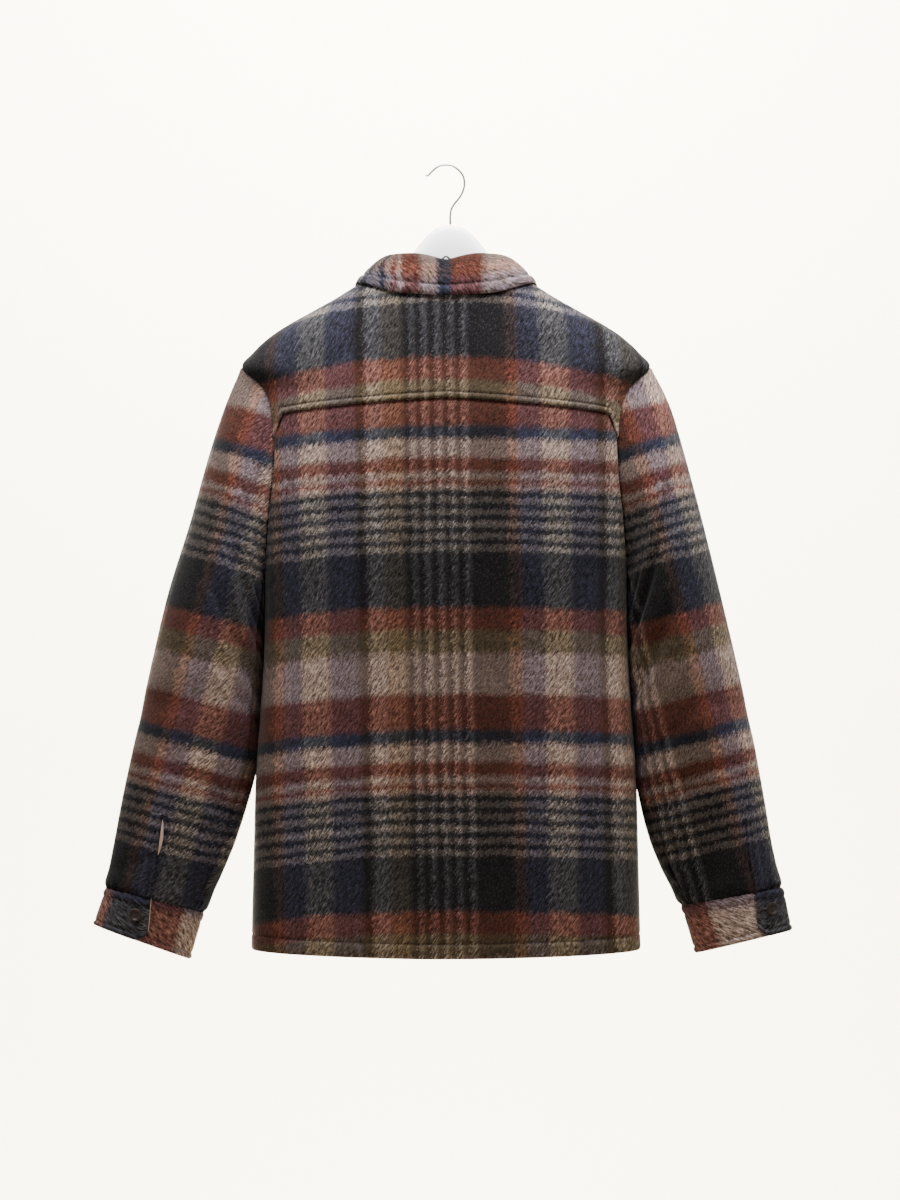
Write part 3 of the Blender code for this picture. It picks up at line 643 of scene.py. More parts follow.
# %% [markdown]
# Noises at several sizes make the nap. A coarse one wavers the stripes, a fine one frays their
# edges, and two slanted ones give flecks and fibres, which also decide how much warp shows. The
# warp tints what the weft shows, and a little pale lint lies over both.

# %% Wool check
EDGE_FUZZ = 12.0
FLECK_FUZZ = 8.0
WAVER = 6.0
EDGE_SPREAD = 1.8
RIB_ACROSS, RIB_DOWN = 8.4, 10.2
TWILL_LEAN = 0.62
# How many flecks, fibres and hairs there are in a metre, along them and across them.
FLECKS, FIBRES, HAIRS = (95.0, 360.0), (150.0, 760.0), (260.0, 700.0)
LINT_COLOUR, LINT_SHARE = (0.105, 0.092, 0.086, 1.0), 0.20


def wool_check(name):
    """The brushed check, read from the piece's own flat cloth coordinates in metres."""
    wool = Finish(name)
    place = wool.node("ShaderNodeUVMap", {"uv_map": "cloth"}, {}).outputs[0]
    across, down, _ = wool.split(place)
    fuzz, grain = wool.noise(place, 480.0)
    fuzz_across, fuzz_down, _ = wool.split(fuzz)
    waver, cloud = wool.noise(place, 30.0)
    waver_across, waver_down, _ = wool.split(waver)
    lean_along = across * TWILL_LEAN - down * 1.0
    lean_across = across * 1.0 + down * TWILL_LEAN
    flecks = wool.join(lean_along * FLECKS[0], lean_across * FLECKS[1])
    fibres = wool.join(lean_along * FIBRES[0] + 7.0, lean_across * FIBRES[1])
    (_, fleck), (_, fibre) = wool.noise(flecks, 1.0), wool.noise(fibres, 1.0)
    rib = across * (1.0 / (RIB_ACROSS * MM)) + down * (1.0 / (RIB_DOWN * MM))
    rib = (rib + (cloud - 0.5) * 3.0) * 6.2832
    rib = rib.maths("SINE", rib, 0.0)

    def stripes(place, drift, repeat, chart):
        """Read a chart a little to each side of a place, and mix the two."""
        seen = []
        for offset in (-EDGE_SPREAD, EDGE_SPREAD):
            share = ((place + drift + offset * MM) % (repeat * MM)) * (1.0 / (repeat * MM))
            settings = {"interpolation": "CONSTANT", "stops": chart}
            seen.append(wool.node("ShaderNodeValToRGB", settings, {0: share}).outputs[0])
        return wool.blend(0.5, seen[0], seen[1])

    def drift(fuzz_share, waver_share):
        """How far the nap moves a place before its chart is read."""
        moved = (fuzz_share - 0.5) * (EDGE_FUZZ * MM) + (waver_share - 0.5) * (WAVER * MM)
        return moved + (fleck - 0.5) * (FLECK_FUZZ * MM)

    warp_drift = drift(fuzz_across, waver_across) + rib * (0.3 * MM)
    weft_drift = drift(fuzz_down, waver_down) - rib * (0.35 * MM)
    warp_stops = chart_stops(WARP_CHART, WARP_REPEAT, WARP_YARN, TINT_TOP)
    weft_stops = chart_stops(WEFT_CHART, WEFT_REPEAT, WEFT_YARN)
    warp = stripes(across, warp_drift, WARP_REPEAT, warp_stops)
    weft = stripes(down, weft_drift, WEFT_REPEAT, weft_stops)

    def grey(value):
        """A colour of three equal numbers."""
        return wool.join(value, value, value)

    warp_lift = 1.0 + (fleck - 0.5) * 3.0 + (fibre - 0.5) * 2.6 + rib * 0.22
    warp_lift = warp_lift.maths("MAXIMUM", warp_lift, 0.0)
    lifted = wool.vector("MULTIPLY", warp, grey(warp_lift * TINT_TOP))
    tint = wool.vector("ADD", lifted, grey(1.0 - warp_lift))
    body = wool.vector("ADD", weft, WARP_BODY)
    woven = wool.vector("SUBTRACT", wool.vector("MULTIPLY", body, tint), WARP_BODY)
    tone = 1.0 + (fibre - 0.5) * 2.8 + (grain - 0.5) * 1.8 + (fleck - 0.5) * 1.0
    tone = tone + (cloud - 0.5) * 0.6
    tone = tone.maths("MAXIMUM", tone, 0.2)
    toned = wool.vector("MULTIPLY", woven, grey(tone))
    hairs = wool.join(lean_along * HAIRS[0], lean_across * HAIRS[1] + 3.0)
    _, hair = wool.noise(hairs, 1.0, 3.0)
    lint = ((hair - 0.55) * 6.0).limited() * LINT_SHARE
    brushed = wool.blend(lint, toned, LINT_COLOUR)
    relief = fleck * 0.5 + fibre * 0.5 + grain * 0.5
    wool.set(Base_Color=brushed, Roughness=0.95, Normal=wool.bump(relief, 0.0006, 0.5))
    wool.set(Sheen_Weight=0.04, Sheen_Roughness=0.5, Specular_IOR_Level=0.05)
    return wool.material


WOOL = wool_check("wool_check")
print("wool check has", len(WOOL.node_tree.nodes), "nodes")

# %% [markdown]
# Every cloth piece is made the same way. A flat grid from bmesh is laid over the piece's form,
# and each point keeps its place on the flat cloth as its UV, so the check runs as it was woven.
# Solidify gives the wall. Rows and columns crowd together where a welt or a groove needs them.


# %% Cloth builder
def spread(length, step, near=(), far=()):
    """Stations along a length: fine ones near each end, then an even step between them."""
    start, end = [0.0] + list(near), [length] + [length - d for d in far]
    inner = max(int(round((end[-1] - start[-1]) / step)), 1)
    middle = list(np.linspace(start[-1], end[-1], inner + 1))
    return np.array(start[:-1] + middle + list(reversed(end[:-1]))) / length


WELT = (0.4, 0.9, 1.6, 2.5, 3.6, 4.6, 5.4, 6.0, 6.6, 7.2, 8.0, 9.4, 11.5, 14.5)


def flat_grid(across, down):
    """A flat bmesh grid, and the stations across and down of its points."""
    columns, rows = len(across) - 1, len(down) - 1
    grid = bmesh.new()
    bmesh.ops.create_grid(grid, x_segments=columns, y_segments=rows, size=0.5)
    flat = np.array([vert.co[:2] for vert in grid.verts])
    column = np.rint((flat[:, 0] + 0.5) * columns).astype(int)
    row = np.rint((0.5 - flat[:, 1]) * rows).astype(int)
    return grid, across[column], down[row]


def make_mesh(name, grid):
    """Turn a bmesh into a mesh."""
    data = bpy.data.meshes.new(name)
    grid.to_mesh(data)
    grid.free()
    return data


def add_piece(name, data, material):
    """Put a smooth mesh in the scene with its material and slot, riding on the body."""
    data.shade_smooth()
    data.materials.append(material)
    piece = bpy.data.objects.new(name, data)
    bpy.context.scene.collection.objects.link(piece)
    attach(piece, "root")
    return piece


def cloth(name, form, across, down, nodes,
          thickness=CLOTH, closed=False, inside=TRUNK_MIDDLE):
    """Lay a grid of stations over a form, and give it its flat coordinates and its wall."""
    grid, across, down = flat_grid(across, down)
    data = make_mesh(name, grid)
    places, woven = form(across, down)
    data.vertices.foreach_set("co", (places * MM).ravel())
    corners = np.empty(len(data.loops), dtype=int)
    data.loops.foreach_get("vertex_index", corners)
    layer = data.uv_layers.new(name="cloth")
    layer.data.foreach_set("uv", (woven[corners] * MM).ravel())
    if closed:
        joined = bmesh.new()
        joined.from_mesh(data)
        bmesh.ops.remove_doubles(joined, verts=joined.verts, dist=0.00001)
        joined.to_mesh(data)
        joined.free()
    data.update()
    middle = Vector(inside) * MM
    if sum(face.normal.dot(face.center - middle) for face in data.polygons) < 0.0:
        data.flip_normals()
    piece = add_piece(name, data, WOOL)
    wall = piece.modifiers.new("wall", "SOLIDIFY")
    wall.thickness = thickness * MM
    wall.offset = -1.0
    wall.use_even_offset = False
    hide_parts(*nodes)
    print(name, len(data.polygons), "faces")


print("cloth builder ready")

# %% [markdown]
# The trunk's cloth hangs straight: its warp keeps its distance from the middle of the back, and
# its weft droops a little to the sides. The chart's start is read at a row of the photo.

# %% Cloth coordinates of the trunk
PHOTO_TOP, PHOTO_SCALE = 164.5, 1.10
RUST_ROW, YOKE_REPEAT_ROWS = 390.5, 250.0
WARP_START, WARP_TAKE_UP, WARP_LEAN = -194.2, 0.985, -0.018
WEFT_ORIGIN = (RUST_ROW - PHOTO_TOP) * PHOTO_SCALE
TURNS = np.linspace(-180.0, 180.0, 721)
ARC_LEVELS = np.linspace(-880.0, -118.0, 90)


def trunk_arcs():
    """Length of cloth from the middle of the back to each turn, at each level."""
    arcs = []
    for level in ARC_LEVELS:
        run = run_along(trunk(TURNS, np.full_like(TURNS, level))[:, :2])
        arcs.append(run - run[len(TURNS) // 2])
    return np.array(arcs)


TRUNK_ARCS = trunk_arcs()
print("cloth round the hem", round(float(np.ptp(TRUNK_ARCS[0]))), "mm")


def trunk_cloth(turn, z, droop_left, droop_right, shift):
    """Flat coordinates of the trunk's cloth."""
    level = (z - ARC_LEVELS[0]) / (ARC_LEVELS[1] - ARC_LEVELS[0])
    arc = look_up(TRUNK_ARCS, level, (turn + 180.0) / (TURNS[1] - TURNS[0]))
    across = arc * WARP_TAKE_UP - WARP_START + WARP_LEAN * (-z - 560.0)
    side = np.clip(np.abs(arc) / 200.0, 0.0, 1.25)
    droop = np.where(arc < 0.0, droop_left, droop_right) * side ** 2
    return points(across, -z - droop + shift - WEFT_ORIGIN)


# %% [markdown]
# The back hangs below the yoke. Its top edge is tucked under the yoke's welt, its sides roll into
# the armholes, and its hem is turned up and stitched 17 mm above the edge.


# %% Back panel
TUCK = 5.0
HEM_STITCH = 17.0
HEM_ROWS = (0.5, 1.2, 2.4, 4.5, 8.0, 12.0, 14.5, 15.6, 16.3, 17.0, 17.7, 18.5, 20.0, 23.0)
EDGE_ROWS = (0.6, 1.3, 2.2, 3.3, 4.6, 6.2, 8.2, 11.0)


def groove(distance, place, depth, width=1.15):
    """The line that a row of topstitching presses into the cloth."""
    return -depth * bell(distance - place, width)


def pucker(along, across_seam, depth, pitch=11.0):
    """Small uneven puckers along a seam, fading away from it."""
    wave = np.sin(along * 2.0 * np.pi / pitch + 1.7 * np.sin(along / 23.0))
    return depth * wave * bell(across_seam, 9.0)


def back_form(across, down):
    side = across * 2.0 - 1.0
    edge = np.full_like(side, CORNER_TURN)
    for _ in range(14):
        edge = np.minimum(armhole_turn(mix(yoke_z(edge), hem_z(edge), down)), 89.95)
    turn = side * edge
    top = yoke_z(turn) - 0.1
    z = mix(top + TUCK, hem_z(turn), down)
    below_top = (top - z) * yoke_lean(turn)
    under = np.clip(-below_top, 0.0, TUCK)
    above_hem = z - hem_z(turn)
    to_side = (1.0 - np.abs(side)) * 290.0
    in_armhole = ease((z - ARMHOLE_BOTTOM_Z + 10.0) / 20.0)
    out = -0.9 * bell(np.maximum(below_top, 0.0), 3.0) - 0.4 * bell(below_top, 8.0) - 0.55 * under
    out += groove(above_hem, HEM_STITCH, 1.7, 1.5) - 0.8 * bell(above_hem, 1.2)
    out += 0.5 * bell(above_hem - 9.0, 6.0) + pucker(turn * 3.2, above_hem - HEM_STITCH, 0.20)
    out += pucker(turn * 3.2 + 4.0, below_top, 0.25)
    out += in_armhole * (0.8 * bell(to_side - 9.0, 6.0) - 2.6 * bell(to_side, 4.0))
    out += (1.0 - in_armhole) * (-0.5 * bell(to_side, 2.2))
    return trunk(turn, z, out), trunk_cloth(turn, z, 13.0, 5.0, 0.0)


cloth(
    "back_cloth", back_form,
    spread(580.0, 4.4, EDGE_ROWS, EDGE_ROWS), spread(617.0, 4.6, WELT[:6], HEM_ROWS),
    ["back_panel"])


# %% [markdown]
# The yoke runs over both shoulders. Its lower edge is folded under and laps over the back, with a
# row of topstitching 6 mm above it, so the edge stands up as a soft puffy welt.


# %% Back yoke
YOKE_STITCH = 6.6


def yoke_stations():
    """Shares across the yoke, and the turn at each of them."""
    side = 90.0 - (90.0 - CORNER_TURN) * np.cos(np.linspace(0.0, 0.5 * np.pi, 15))
    half = np.concatenate([side[1:], np.linspace(90.0, YOKE_FRONT_TURN, 9)[1:]])
    corner = np.linspace(54.0, CORNER_TURN, 17)
    middle = np.concatenate([-corner[::-1], np.linspace(-54.0, 54.0, 91)[1:-1], corner])
    turns = np.concatenate([-half[::-1], middle, half])
    return np.linspace(0.0, 1.0, len(turns)), turns


YOKE_ACROSS, YOKE_TURNS = yoke_stations()


def yoke_form(across, down):
    turn = np.interp(across, YOKE_ACROSS, YOKE_TURNS)
    middle = np.abs(turn) <= CORNER_TURN + 0.01
    bottom = np.where(middle, yoke_z(turn), armhole_top_z(turn))
    welt = ease((CORNER_TURN + 1.0 - np.abs(turn)) / 2.5)
    z = mix(neck_z(turn), bottom - TUCK * (1.0 - welt), down)
    above = (z - bottom) * mix(1.0, yoke_lean(turn), welt)
    out = welt * (1.2 * bell(above - 3.2, 3.4) + 0.5 * bell(above - 11.0, 6.0))
    out -= welt * 0.6 * bell(above, 0.7)
    out += welt * (groove(above, YOKE_STITCH, 1.1, 1.3) + 0.6 * bell(above, 22.0))
    out += welt * pucker(turn * 3.2, above - 5.0, 0.30, 8.0)
    out += (1.0 - welt) * (0.9 * bell(above - 6.0, 4.5) - 1.6 * ease((2.5 - above) / 4.0))
    return trunk(turn, z, out), trunk_cloth(turn, z, 26.0, 26.0, YOKE_REPEAT_ROWS * PHOTO_SCALE)


cloth(
    "yoke_cloth", yoke_form, YOKE_ACROSS, spread(124.0, 3.6, (1.0, 2.2), WELT),
    ["back_yoke"])


# %% [markdown]
# The fronts don't show in the picture. They are cut and checked like the back, with a plain
# buttoned edge: the left front laps over the right one and has a row of stitching on each side.


# %% Fronts
FRONT_OVERLAP = 17.0
FRONT_STITCHES = {"outer": 6.0, "inner": 32.0}
SEAM_TURN, SHOULDER_SEAM_TURN = 0.14, 0.6


def front_form(hand):
    side = HANDS[hand]

    def form(across, down):
        z = mix(NECK_FRONT_Z, HEM_CENTRE_Z, down)
        turn = np.full_like(z, 150.0)
        for _ in range(12):
            side_seam = np.maximum(180.0 - armhole_turn(z), 90.0 + SEAM_TURN)
            shoulder_seam = YOKE_FRONT_TURN + SHOULDER_SEAM_TURN
            seam = np.where(z > SHOULDER_END_Z, shoulder_seam, side_seam)
            lap = np.degrees(np.arcsin(FRONT_OVERLAP / read(TRUNK, z, 1)))
            turn = mix(seam, 180.0 + lap, across)
            top = neck_z(turn)
            z = mix(top, hem_z(turn), down)
        above_hem = z - hem_z(turn)
        to_side = across * 280.0
        to_edge = (1.0 - across) * read(TRUNK, z, 1)
        out = groove(above_hem, HEM_STITCH, 0.9)
        out -= 0.8 * bell(above_hem, 1.2) + 0.8 * bell(top - z, 2.0)
        out += 0.8 * bell(to_side - 6.0, 4.5) - 1.2 * bell(to_side, 2.0)
        if hand == "left":
            out += (CLOTH + LAYER_GAP) * ease((turn - 160.0) / 12.0) - 0.7 * bell(to_edge, 1.0)
            out += groove(to_edge, FRONT_STITCHES["outer"], 0.8)
            out += groove(to_edge, FRONT_STITCHES["inner"], 0.7)
        woven = trunk_cloth(side * np.minimum(turn, 180.0), z, 6.0, 6.0, 0.0)
        woven[:, 0] += side * np.maximum(turn - 180.0, 0.0) * read(TRUNK, z, 1) * np.pi / 180.0
        return trunk(side * turn, z, out), woven

    return form


for hand in HANDS:
    cloth(
        "front_cloth_" + hand, front_form(hand),
        spread(300.0, 4.8, EDGE_ROWS, (0.5, 1.2, 2.6, 4.6, 5.4, 6.0, 6.6, 7.4, 9.5)),
        spread(700.0, 4.8, (0.7, 1.8, 3.2), HEM_ROWS),
        ["front_" + hand])

# %% [markdown]
# The collar has a stand inside and a fall that turns over it. It was cut with the weft running up
# and down, so the colours of the weft chart follow one another along it. Its edge is turned and
# stitched 7 mm in, and it is double cloth, so the edge looks thick and soft.

# %% Collar
# Turn; turn and height of the outer edge; how far the edge stands off the trunk.
COLLAR_EDGE = table((
    (0, 0, -145, 3.6),
    (26, 26, -142.3, 3.6),
    (42, 42, -137.3, 3.6),
    (65, 65, -132.5, 3.6),
    (90, 90, -131, 3.6),
    (110, 112, -137, 4.4),
    (135, 140, -160, 5.6),
    (155, 157, -193, 8.6),
    (175, 170, -228, 9.4),
))
# Turn and height of the roll line.
ROLL_LINE = table((
    (0, -106), (38, -101), (70, -102), (90, -104),
    (120, -118), (150, -140), (180, -160),
))
ROLL_HALF_WIDTH, ROLL_HALF_DEPTH, ROLL_CENTRE_Y = 64.0, 47.0, 3.0
COLLAR_END_TURN = 175.0
COLLAR_CLOTH = 3.0
FALL_WIDTH, COLLAR_STITCH = 47.0, 7.0
COLLAR_ROWS = (1.2, 3.0, 5.0, 6.4, 7.6)
UP = np.array([0.0, 0.0, 1.0])


def roll(turn):
    """Points of the roll line and the level direction out of the collar."""
    sine, cosine = np.sin(np.radians(turn)), np.cos(np.radians(turn))
    height = read(ROLL_LINE, np.abs(turn), 1) - 2.4 * bell(turn, 15.0)
    place = points(ROLL_HALF_WIDTH * sine, ROLL_CENTRE_Y - ROLL_HALF_DEPTH * cosine, height)
    return place, unit(points(sine / ROLL_HALF_WIDTH, -cosine / ROLL_HALF_DEPTH, 0.0))


# Places along the collar from left to right, and what the weft chart reads there.
COLLAR_WEFT = (
    (-220, -112, -86, -77, -65, -54, -49, -27, -9.9, 6.6, 39.6, 112, 220),
    (248, 140, 131, 122, 108.6, 96.5, 88.8, 73.4, 52.4, 39, 0, -46.7, -155),
)


def collar_cloth(turn, from_edge, x):
    """Flat coordinates of the collar: the weft chart runs along it, from right to left."""
    along = mix(x, turn * 1.22, ease((np.abs(turn) - 45.0) / 30.0))
    return points(24.0 - from_edge, np.interp(along, *COLLAR_WEFT))


def fall_form(across, down):
    turn = mix(-COLLAR_END_TURN, COLLAR_END_TURN, across)
    sign = np.where(turn < 0.0, -1.0, 1.0)
    place, level = roll(turn)
    edge_turn, edge_z, edge_out = [read(COLLAR_EDGE, np.abs(turn), c) for c in (1, 2, 3)]
    rise = (COLLAR_CLOTH + 2.4 * LAYER_GAP) * UP
    start = place - level * CLOTH + rise
    belly = mix(10.0, 17.0, ease((np.abs(turn) - 100.0) / 70.0))[:, None]
    bend = place + level * belly + rise + UP
    end = trunk(sign * edge_turn, edge_z, edge_out)
    share = down[:, None]
    point = mix(mix(start, bend, share), mix(bend, end, share), share)
    tangent = mix(bend - start, end - bend, share)
    angle = np.radians(turn)
    round_it = points(np.cos(angle) * ROLL_HALF_WIDTH, np.sin(angle) * ROLL_HALF_DEPTH, 0.0)
    normal = unit(np.cross(tangent, round_it))
    normal *= np.where((normal * (level + UP)).sum(axis=-1) < 0.0, -1.0, 1.0)[:, None]
    from_edge = (1.0 - down) * FALL_WIDTH
    from_end = (COLLAR_END_TURN - np.abs(turn)) * 1.3
    out = 0.8 * bell(from_edge - 3.4, 2.6) - 1.0 * bell(from_edge, 0.9) - 0.8 * bell(from_end, 0.9)
    out += groove(from_edge, COLLAR_STITCH, 1.1) + groove(from_end, COLLAR_STITCH, 0.9)
    out += pucker(turn * 1.4, from_edge - 5.0, 0.25, 9.0)
    out += 0.9 * np.sin(turn / 13.0 + 0.6) * bell(down - 0.55, 0.3)
    return point + normal * out[:, None], collar_cloth(turn, from_edge, point[:, 0])


def stand_form(across, down):
    turn = mix(-COLLAR_END_TURN, COLLAR_END_TURN, across)
    place, level = roll(turn)
    foot = trunk(turn, neck_z(turn)) + (SEAM_GAP + 0.15) * UP
    woven = collar_cloth(turn, 60.0 + down * 28.0, place[:, 0])
    return mix(place, foot, down[:, None]), woven


cloth(
    "collar_fall_cloth", fall_form, spread(440.0, 2.6, COLLAR_ROWS, COLLAR_ROWS),
    spread(FALL_WIDTH, 2.2, (), (0.4, 0.9, 1.6, 2.6, 3.8, 5.0, 6.0, 6.6, 7.0, 7.5, 8.2, 9.4, 11.0)),
    ["collar_fall"],
    thickness=COLLAR_CLOTH, inside=(0.0, 0.0, -190.0))
cloth(
    "collar_stand_cloth", stand_form, spread(340.0, 4.0), spread(28.0, 3.0),
    ["collar_stand"],
    inside=(0.0, 0.0, -120.0))

# %% [markdown]
# Each sleeve is one piece closed by the underarm seam. Its weft bands lie square to the arm and
# meet those of the back at the armhole, as a careful cutter places them. Above the cuff a slit
# lets the hand through, and its pale inside shows where it stands open.

# %% Sleeves
ARM_ALONG = np.array([0.25, 0.0, -0.968])
ARM_ACROSS = np.array([0.968, 0.0, 0.25])
SLEEVE_STRETCH = 1.033
SEAM_ANGLE = 148.0
ARC_SHARES = np.linspace(0.0, CUFF_END, 60)
ARC_ANGLES = np.linspace(-220.0, 180.0, 201)
INTO_CUFF, UNDER_TRUNK = 5.0, 6.0
# Where the arcs' middle lies: a ring below the elbow, and the angle 90 at the back.
ELBOW_RING, BACK_ANGLE = 38, 155
SLEEVE_SHIFT = {"left": -62.0, "right": -57.0}
SLEEVE_MIDDLE_WARP = {"left": 44.0, "right": -21.0}


def sleeve_arcs(hand):
    """Girth of cloth from the sleeve's back line to each angle, on many rings."""
    flip = np.array([HANDS[hand], 1.0, 1.0])
    lengths = []
    for value in ARC_SHARES:
        ring = sleeve_ring(hand, np.full_like(ARC_ANGLES, value), ARC_ANGLES) * flip
        run = run_along(ring - (ring @ ARM_ALONG)[:, None] * ARM_ALONG)
        lengths.append(ring[BACK_ANGLE] @ ARM_ACROSS - (run - run[BACK_ANGLE]))
    return np.array(lengths)


SLEEVE_ARCS = {hand: sleeve_arcs(hand) for hand in SLEEVES}


def sleeve_cloth(hand, share, angle, places):
    """Flat coordinates of a sleeve: the weft square to the arm, the warp along it."""
    along = (places * np.array([HANDS[hand], 1.0, 1.0])) @ ARM_ALONG
    head = 8.0 * bell(share, 0.12) * np.clip(np.cos(np.radians(angle - 150.0)), 0.0, 1.0)
    weft = (along - 472.0) * SLEEVE_STRETCH + 472.0 + SLEEVE_SHIFT[hand] - head - WEFT_ORIGIN
    row = np.clip(share / (ARC_SHARES[1] - ARC_SHARES[0]), 0.0, len(ARC_SHARES) - 1.001)
    column = (angle - ARC_ANGLES[0]) / (ARC_ANGLES[1] - ARC_ANGLES[0])
    column = np.clip(column, 0.0, len(ARC_ANGLES) - 1.001)
    arcs = SLEEVE_ARCS[hand]
    outwards = look_up(arcs, row, column) - arcs[ELBOW_RING, BACK_ANGLE]
    return points(SLEEVE_MIDDLE_WARP[hand] + HANDS[hand] * outwards, weft)


def arm_middle(hand, share):
    """A point inside a sleeve."""
    around = np.linspace(0.0, 360.0, 37)[:-1]
    return sleeve_ring(hand, np.full_like(around, share), around).mean(axis=0)


def sleeve_form(hand):
    def form(across, down):
        share = mix(SLEEVE_START, 1.0, down ** 1.15)
        angle = mix(SEAM_ANGLE - 360.0, SEAM_ANGLE, across)
        from_top = share * 560.0
        to_cuff = (1.0 - share) * 460.0
        to_seam = np.minimum(across, 1.0 - across) * 330.0
        out = -1.2 * bell(from_top, 3.0) + 0.7 * bell(from_top - 12.0, 7.0)
        out += -2.4 * bell(to_cuff, 3.0) + 0.9 * bell(to_cuff - 11.0, 8.0)
        out += -1.5 * bell(to_seam, 1.7) + 0.5 * bell(to_seam - 5.0, 3.5)
        out += pucker(angle * 0.9, to_cuff, 0.9, 14.0) + pucker(angle * 1.1, from_top, 0.5, 13.0)
        base = sleeve_ring(hand, share, angle)
        seam, end = down < 0.0001, down > 0.9999
        places = sleeve(hand, share, angle, out - 1.6 * seam - 0.9 * end)
        ahead = unit(sleeve_ring(hand, share + 0.01, angle) - base)
        places += ahead * (INTO_CUFF * end - UNDER_TRUNK * seam)[:, None]
        return places, sleeve_cloth(hand, share, angle, base)

    return form


for hand in HANDS:
    cloth(
        "sleeve_cloth_" + hand, sleeve_form(hand),
        spread(330.0, 2.9, (0.8, 1.8, 3.2, 5.0), (0.8, 1.8, 3.2, 5.0)),
        spread(560.0, 4.2, (0.8, 2.0, 4.0, 7.0), (0.7, 1.6, 2.8, 4.4, 6.5, 9.0, 12.0)),
        ["sleeve_" + hand], closed=True,
        inside=arm_middle(hand, 0.5))

# %% [markdown]
# A cuff is a band of double cloth. Its outer end laps over the inner one on the back of the
# wrist, with a rounded lower corner, and a button holds it. It was cut like the collar, so the
# weft colours follow one another round the wrist.

# %% Cuffs
CUFF_CLOTH = 3.0
LAP_UNDER = 34.0
CUFF_LENGTH = 48.0
CUFF_STITCHES = {"top": 10.0, "edge": 6.6}
PLACKET_WIDTH, PLACKET_LENGTH, PLACKET_STITCH = 15.0, 80.0, 3.4
PLACKET_TOP, PLACKET_SLANT, PLACKET_CLOTH = 0.80, 13.0, 1.6
CUFF_PROUD = -0.6
# Where the weft chart is read round each cuff: angles, and millimetres from the chart's start.
CUFF_WEFT = {
    "left": ((52, 86, 180, 270, 360, 454), (395.6, 368.4, 293.2, 221, 268, 193)),
    "right": ((29, 63, 180, 360, 431), (261.8, 289, 382.6, 235.4, 178.6)),
}
CUFF_WARP = {"left": 30.0, "right": 27.0}


def cuff_form(hand):
    lap, edge = LAP_ANGLES[hand], CUFF_STITCHES["edge"]

    def form(across, down):
        angle = mix(lap - LAP_UNDER, lap + 360.0, across) + LAP_SLANT * down
        share = mix(CUFF_START, CUFF_END, down)
        from_top, to_bottom = down * CUFF_LENGTH, (1.0 - down) * CUFF_LENGTH
        from_lap = (1.0 - across) * 330.0
        corner = np.maximum(12.0 - from_lap, 0.0) / 12.0
        share = share - ease(down) * corner ** 2 * 0.022
        lift = (CUFF_CLOTH + LAYER_GAP) * ease((across - 0.80) / 0.1)
        out = groove(from_top, CUFF_STITCHES["top"], 1.0) + groove(to_bottom, edge, 1.1)
        out += groove(from_lap, edge, 0.9) + 0.5 * bell(from_top - 5.0, 4.0)
        out += 0.8 * bell(to_bottom - 3.0, 2.4) - 1.3 * bell(from_top, 1.8)
        out -= 0.9 * bell(to_bottom, 0.9) + 0.8 * bell(from_lap, 0.9)
        out += pucker(angle * 0.8, to_bottom - 5.0, 0.25, 9.0)
        woven = points(CUFF_WARP[hand] + from_top * 0.85, np.interp(angle, *CUFF_WEFT[hand]))
        return sleeve(hand, share, angle, lift + CUFF_PROUD + out), woven

    return form


def placket_form(hand):
    lap = LAP_ANGLES[hand]
    rows = SLEEVES[hand]

    def form(across, down):
        share = mix(PLACKET_TOP, 0.997, down)
        outer_x, outer_z, inner_x, inner_z = [read(rows, share, c) for c in (1, 2, 3, 4)]
        width = np.degrees(2.0 * PLACKET_WIDTH / np.hypot(outer_x - inner_x, outer_z - inner_z))
        angle = mix(lap - PLACKET_SLANT, lap, down) - width * (1.0 - across)
        to_edge = (1.0 - across) * PLACKET_WIDTH
        out = PLACKET_CLOTH + LAYER_GAP - 0.8 * bell(down * PLACKET_LENGTH, 1.0)
        out += groove(to_edge, PLACKET_STITCH, 0.5) - 0.5 * bell(to_edge, 0.7)
        out -= 1.4 * bell(across * PLACKET_WIDTH, 3.0)
        base = sleeve_ring(hand, share, angle)
        return sleeve(hand, share, angle, out), sleeve_cloth(hand, share, angle, base)

    return form


for hand in HANDS:
    cloth(
        "cuff_cloth_" + hand, cuff_form(hand),
        spread(320.0, 2.6, (0.8, 2.0), (0.4, 0.9, 1.6, 2.6, 4.0, 5.4, 6.2, 7.0, 8.0, 10.0)),
        spread(CUFF_LENGTH, 2.2, (0.4, 1.0, 2.0, 4.0, 7.0, 9.0, 10.0, 11.0),
               (0.4, 0.9, 1.6, 2.8, 4.4, 5.8, 6.6, 7.4, 9.0)),
        ["cuff_" + hand],
        thickness=CUFF_CLOTH, inside=arm_middle(hand, 1.05))
    cloth(
        "placket_cloth_" + hand, placket_form(hand),
        spread(PLACKET_WIDTH, 1.2), spread(PLACKET_LENGTH, 2.2, (0.5, 1.2)),
        ["cuff_placket_" + hand],
        thickness=PLACKET_CLOTH, inside=arm_middle(hand, 0.9))

# %% [markdown]
# The other pieces are hard or thin, and need no cloth coordinates. Each is a closed skin laid
# with the same kind of grid. Its material comes from one small finish function.


# %% Hard pieces
def skin(name, form, across, down, material, nodes=()):
    """Lay a grid over a closed form of a hard piece."""
    grid, across, down = flat_grid(across, down)
    for vert, place in zip(grid.verts, form(across, down)):
        vert.co = Vector(place) * MM
    bmesh.ops.remove_doubles(grid, verts=grid.verts, dist=0.000002)
    bmesh.ops.recalc_face_normals(grid, faces=grid.faces)
    if grid.calc_volume(signed=True) < 0.0:
        bmesh.ops.reverse_faces(grid, faces=grid.faces)
    piece = add_piece(name, make_mesh(name, grid), material)
    if nodes:
        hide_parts(*nodes)


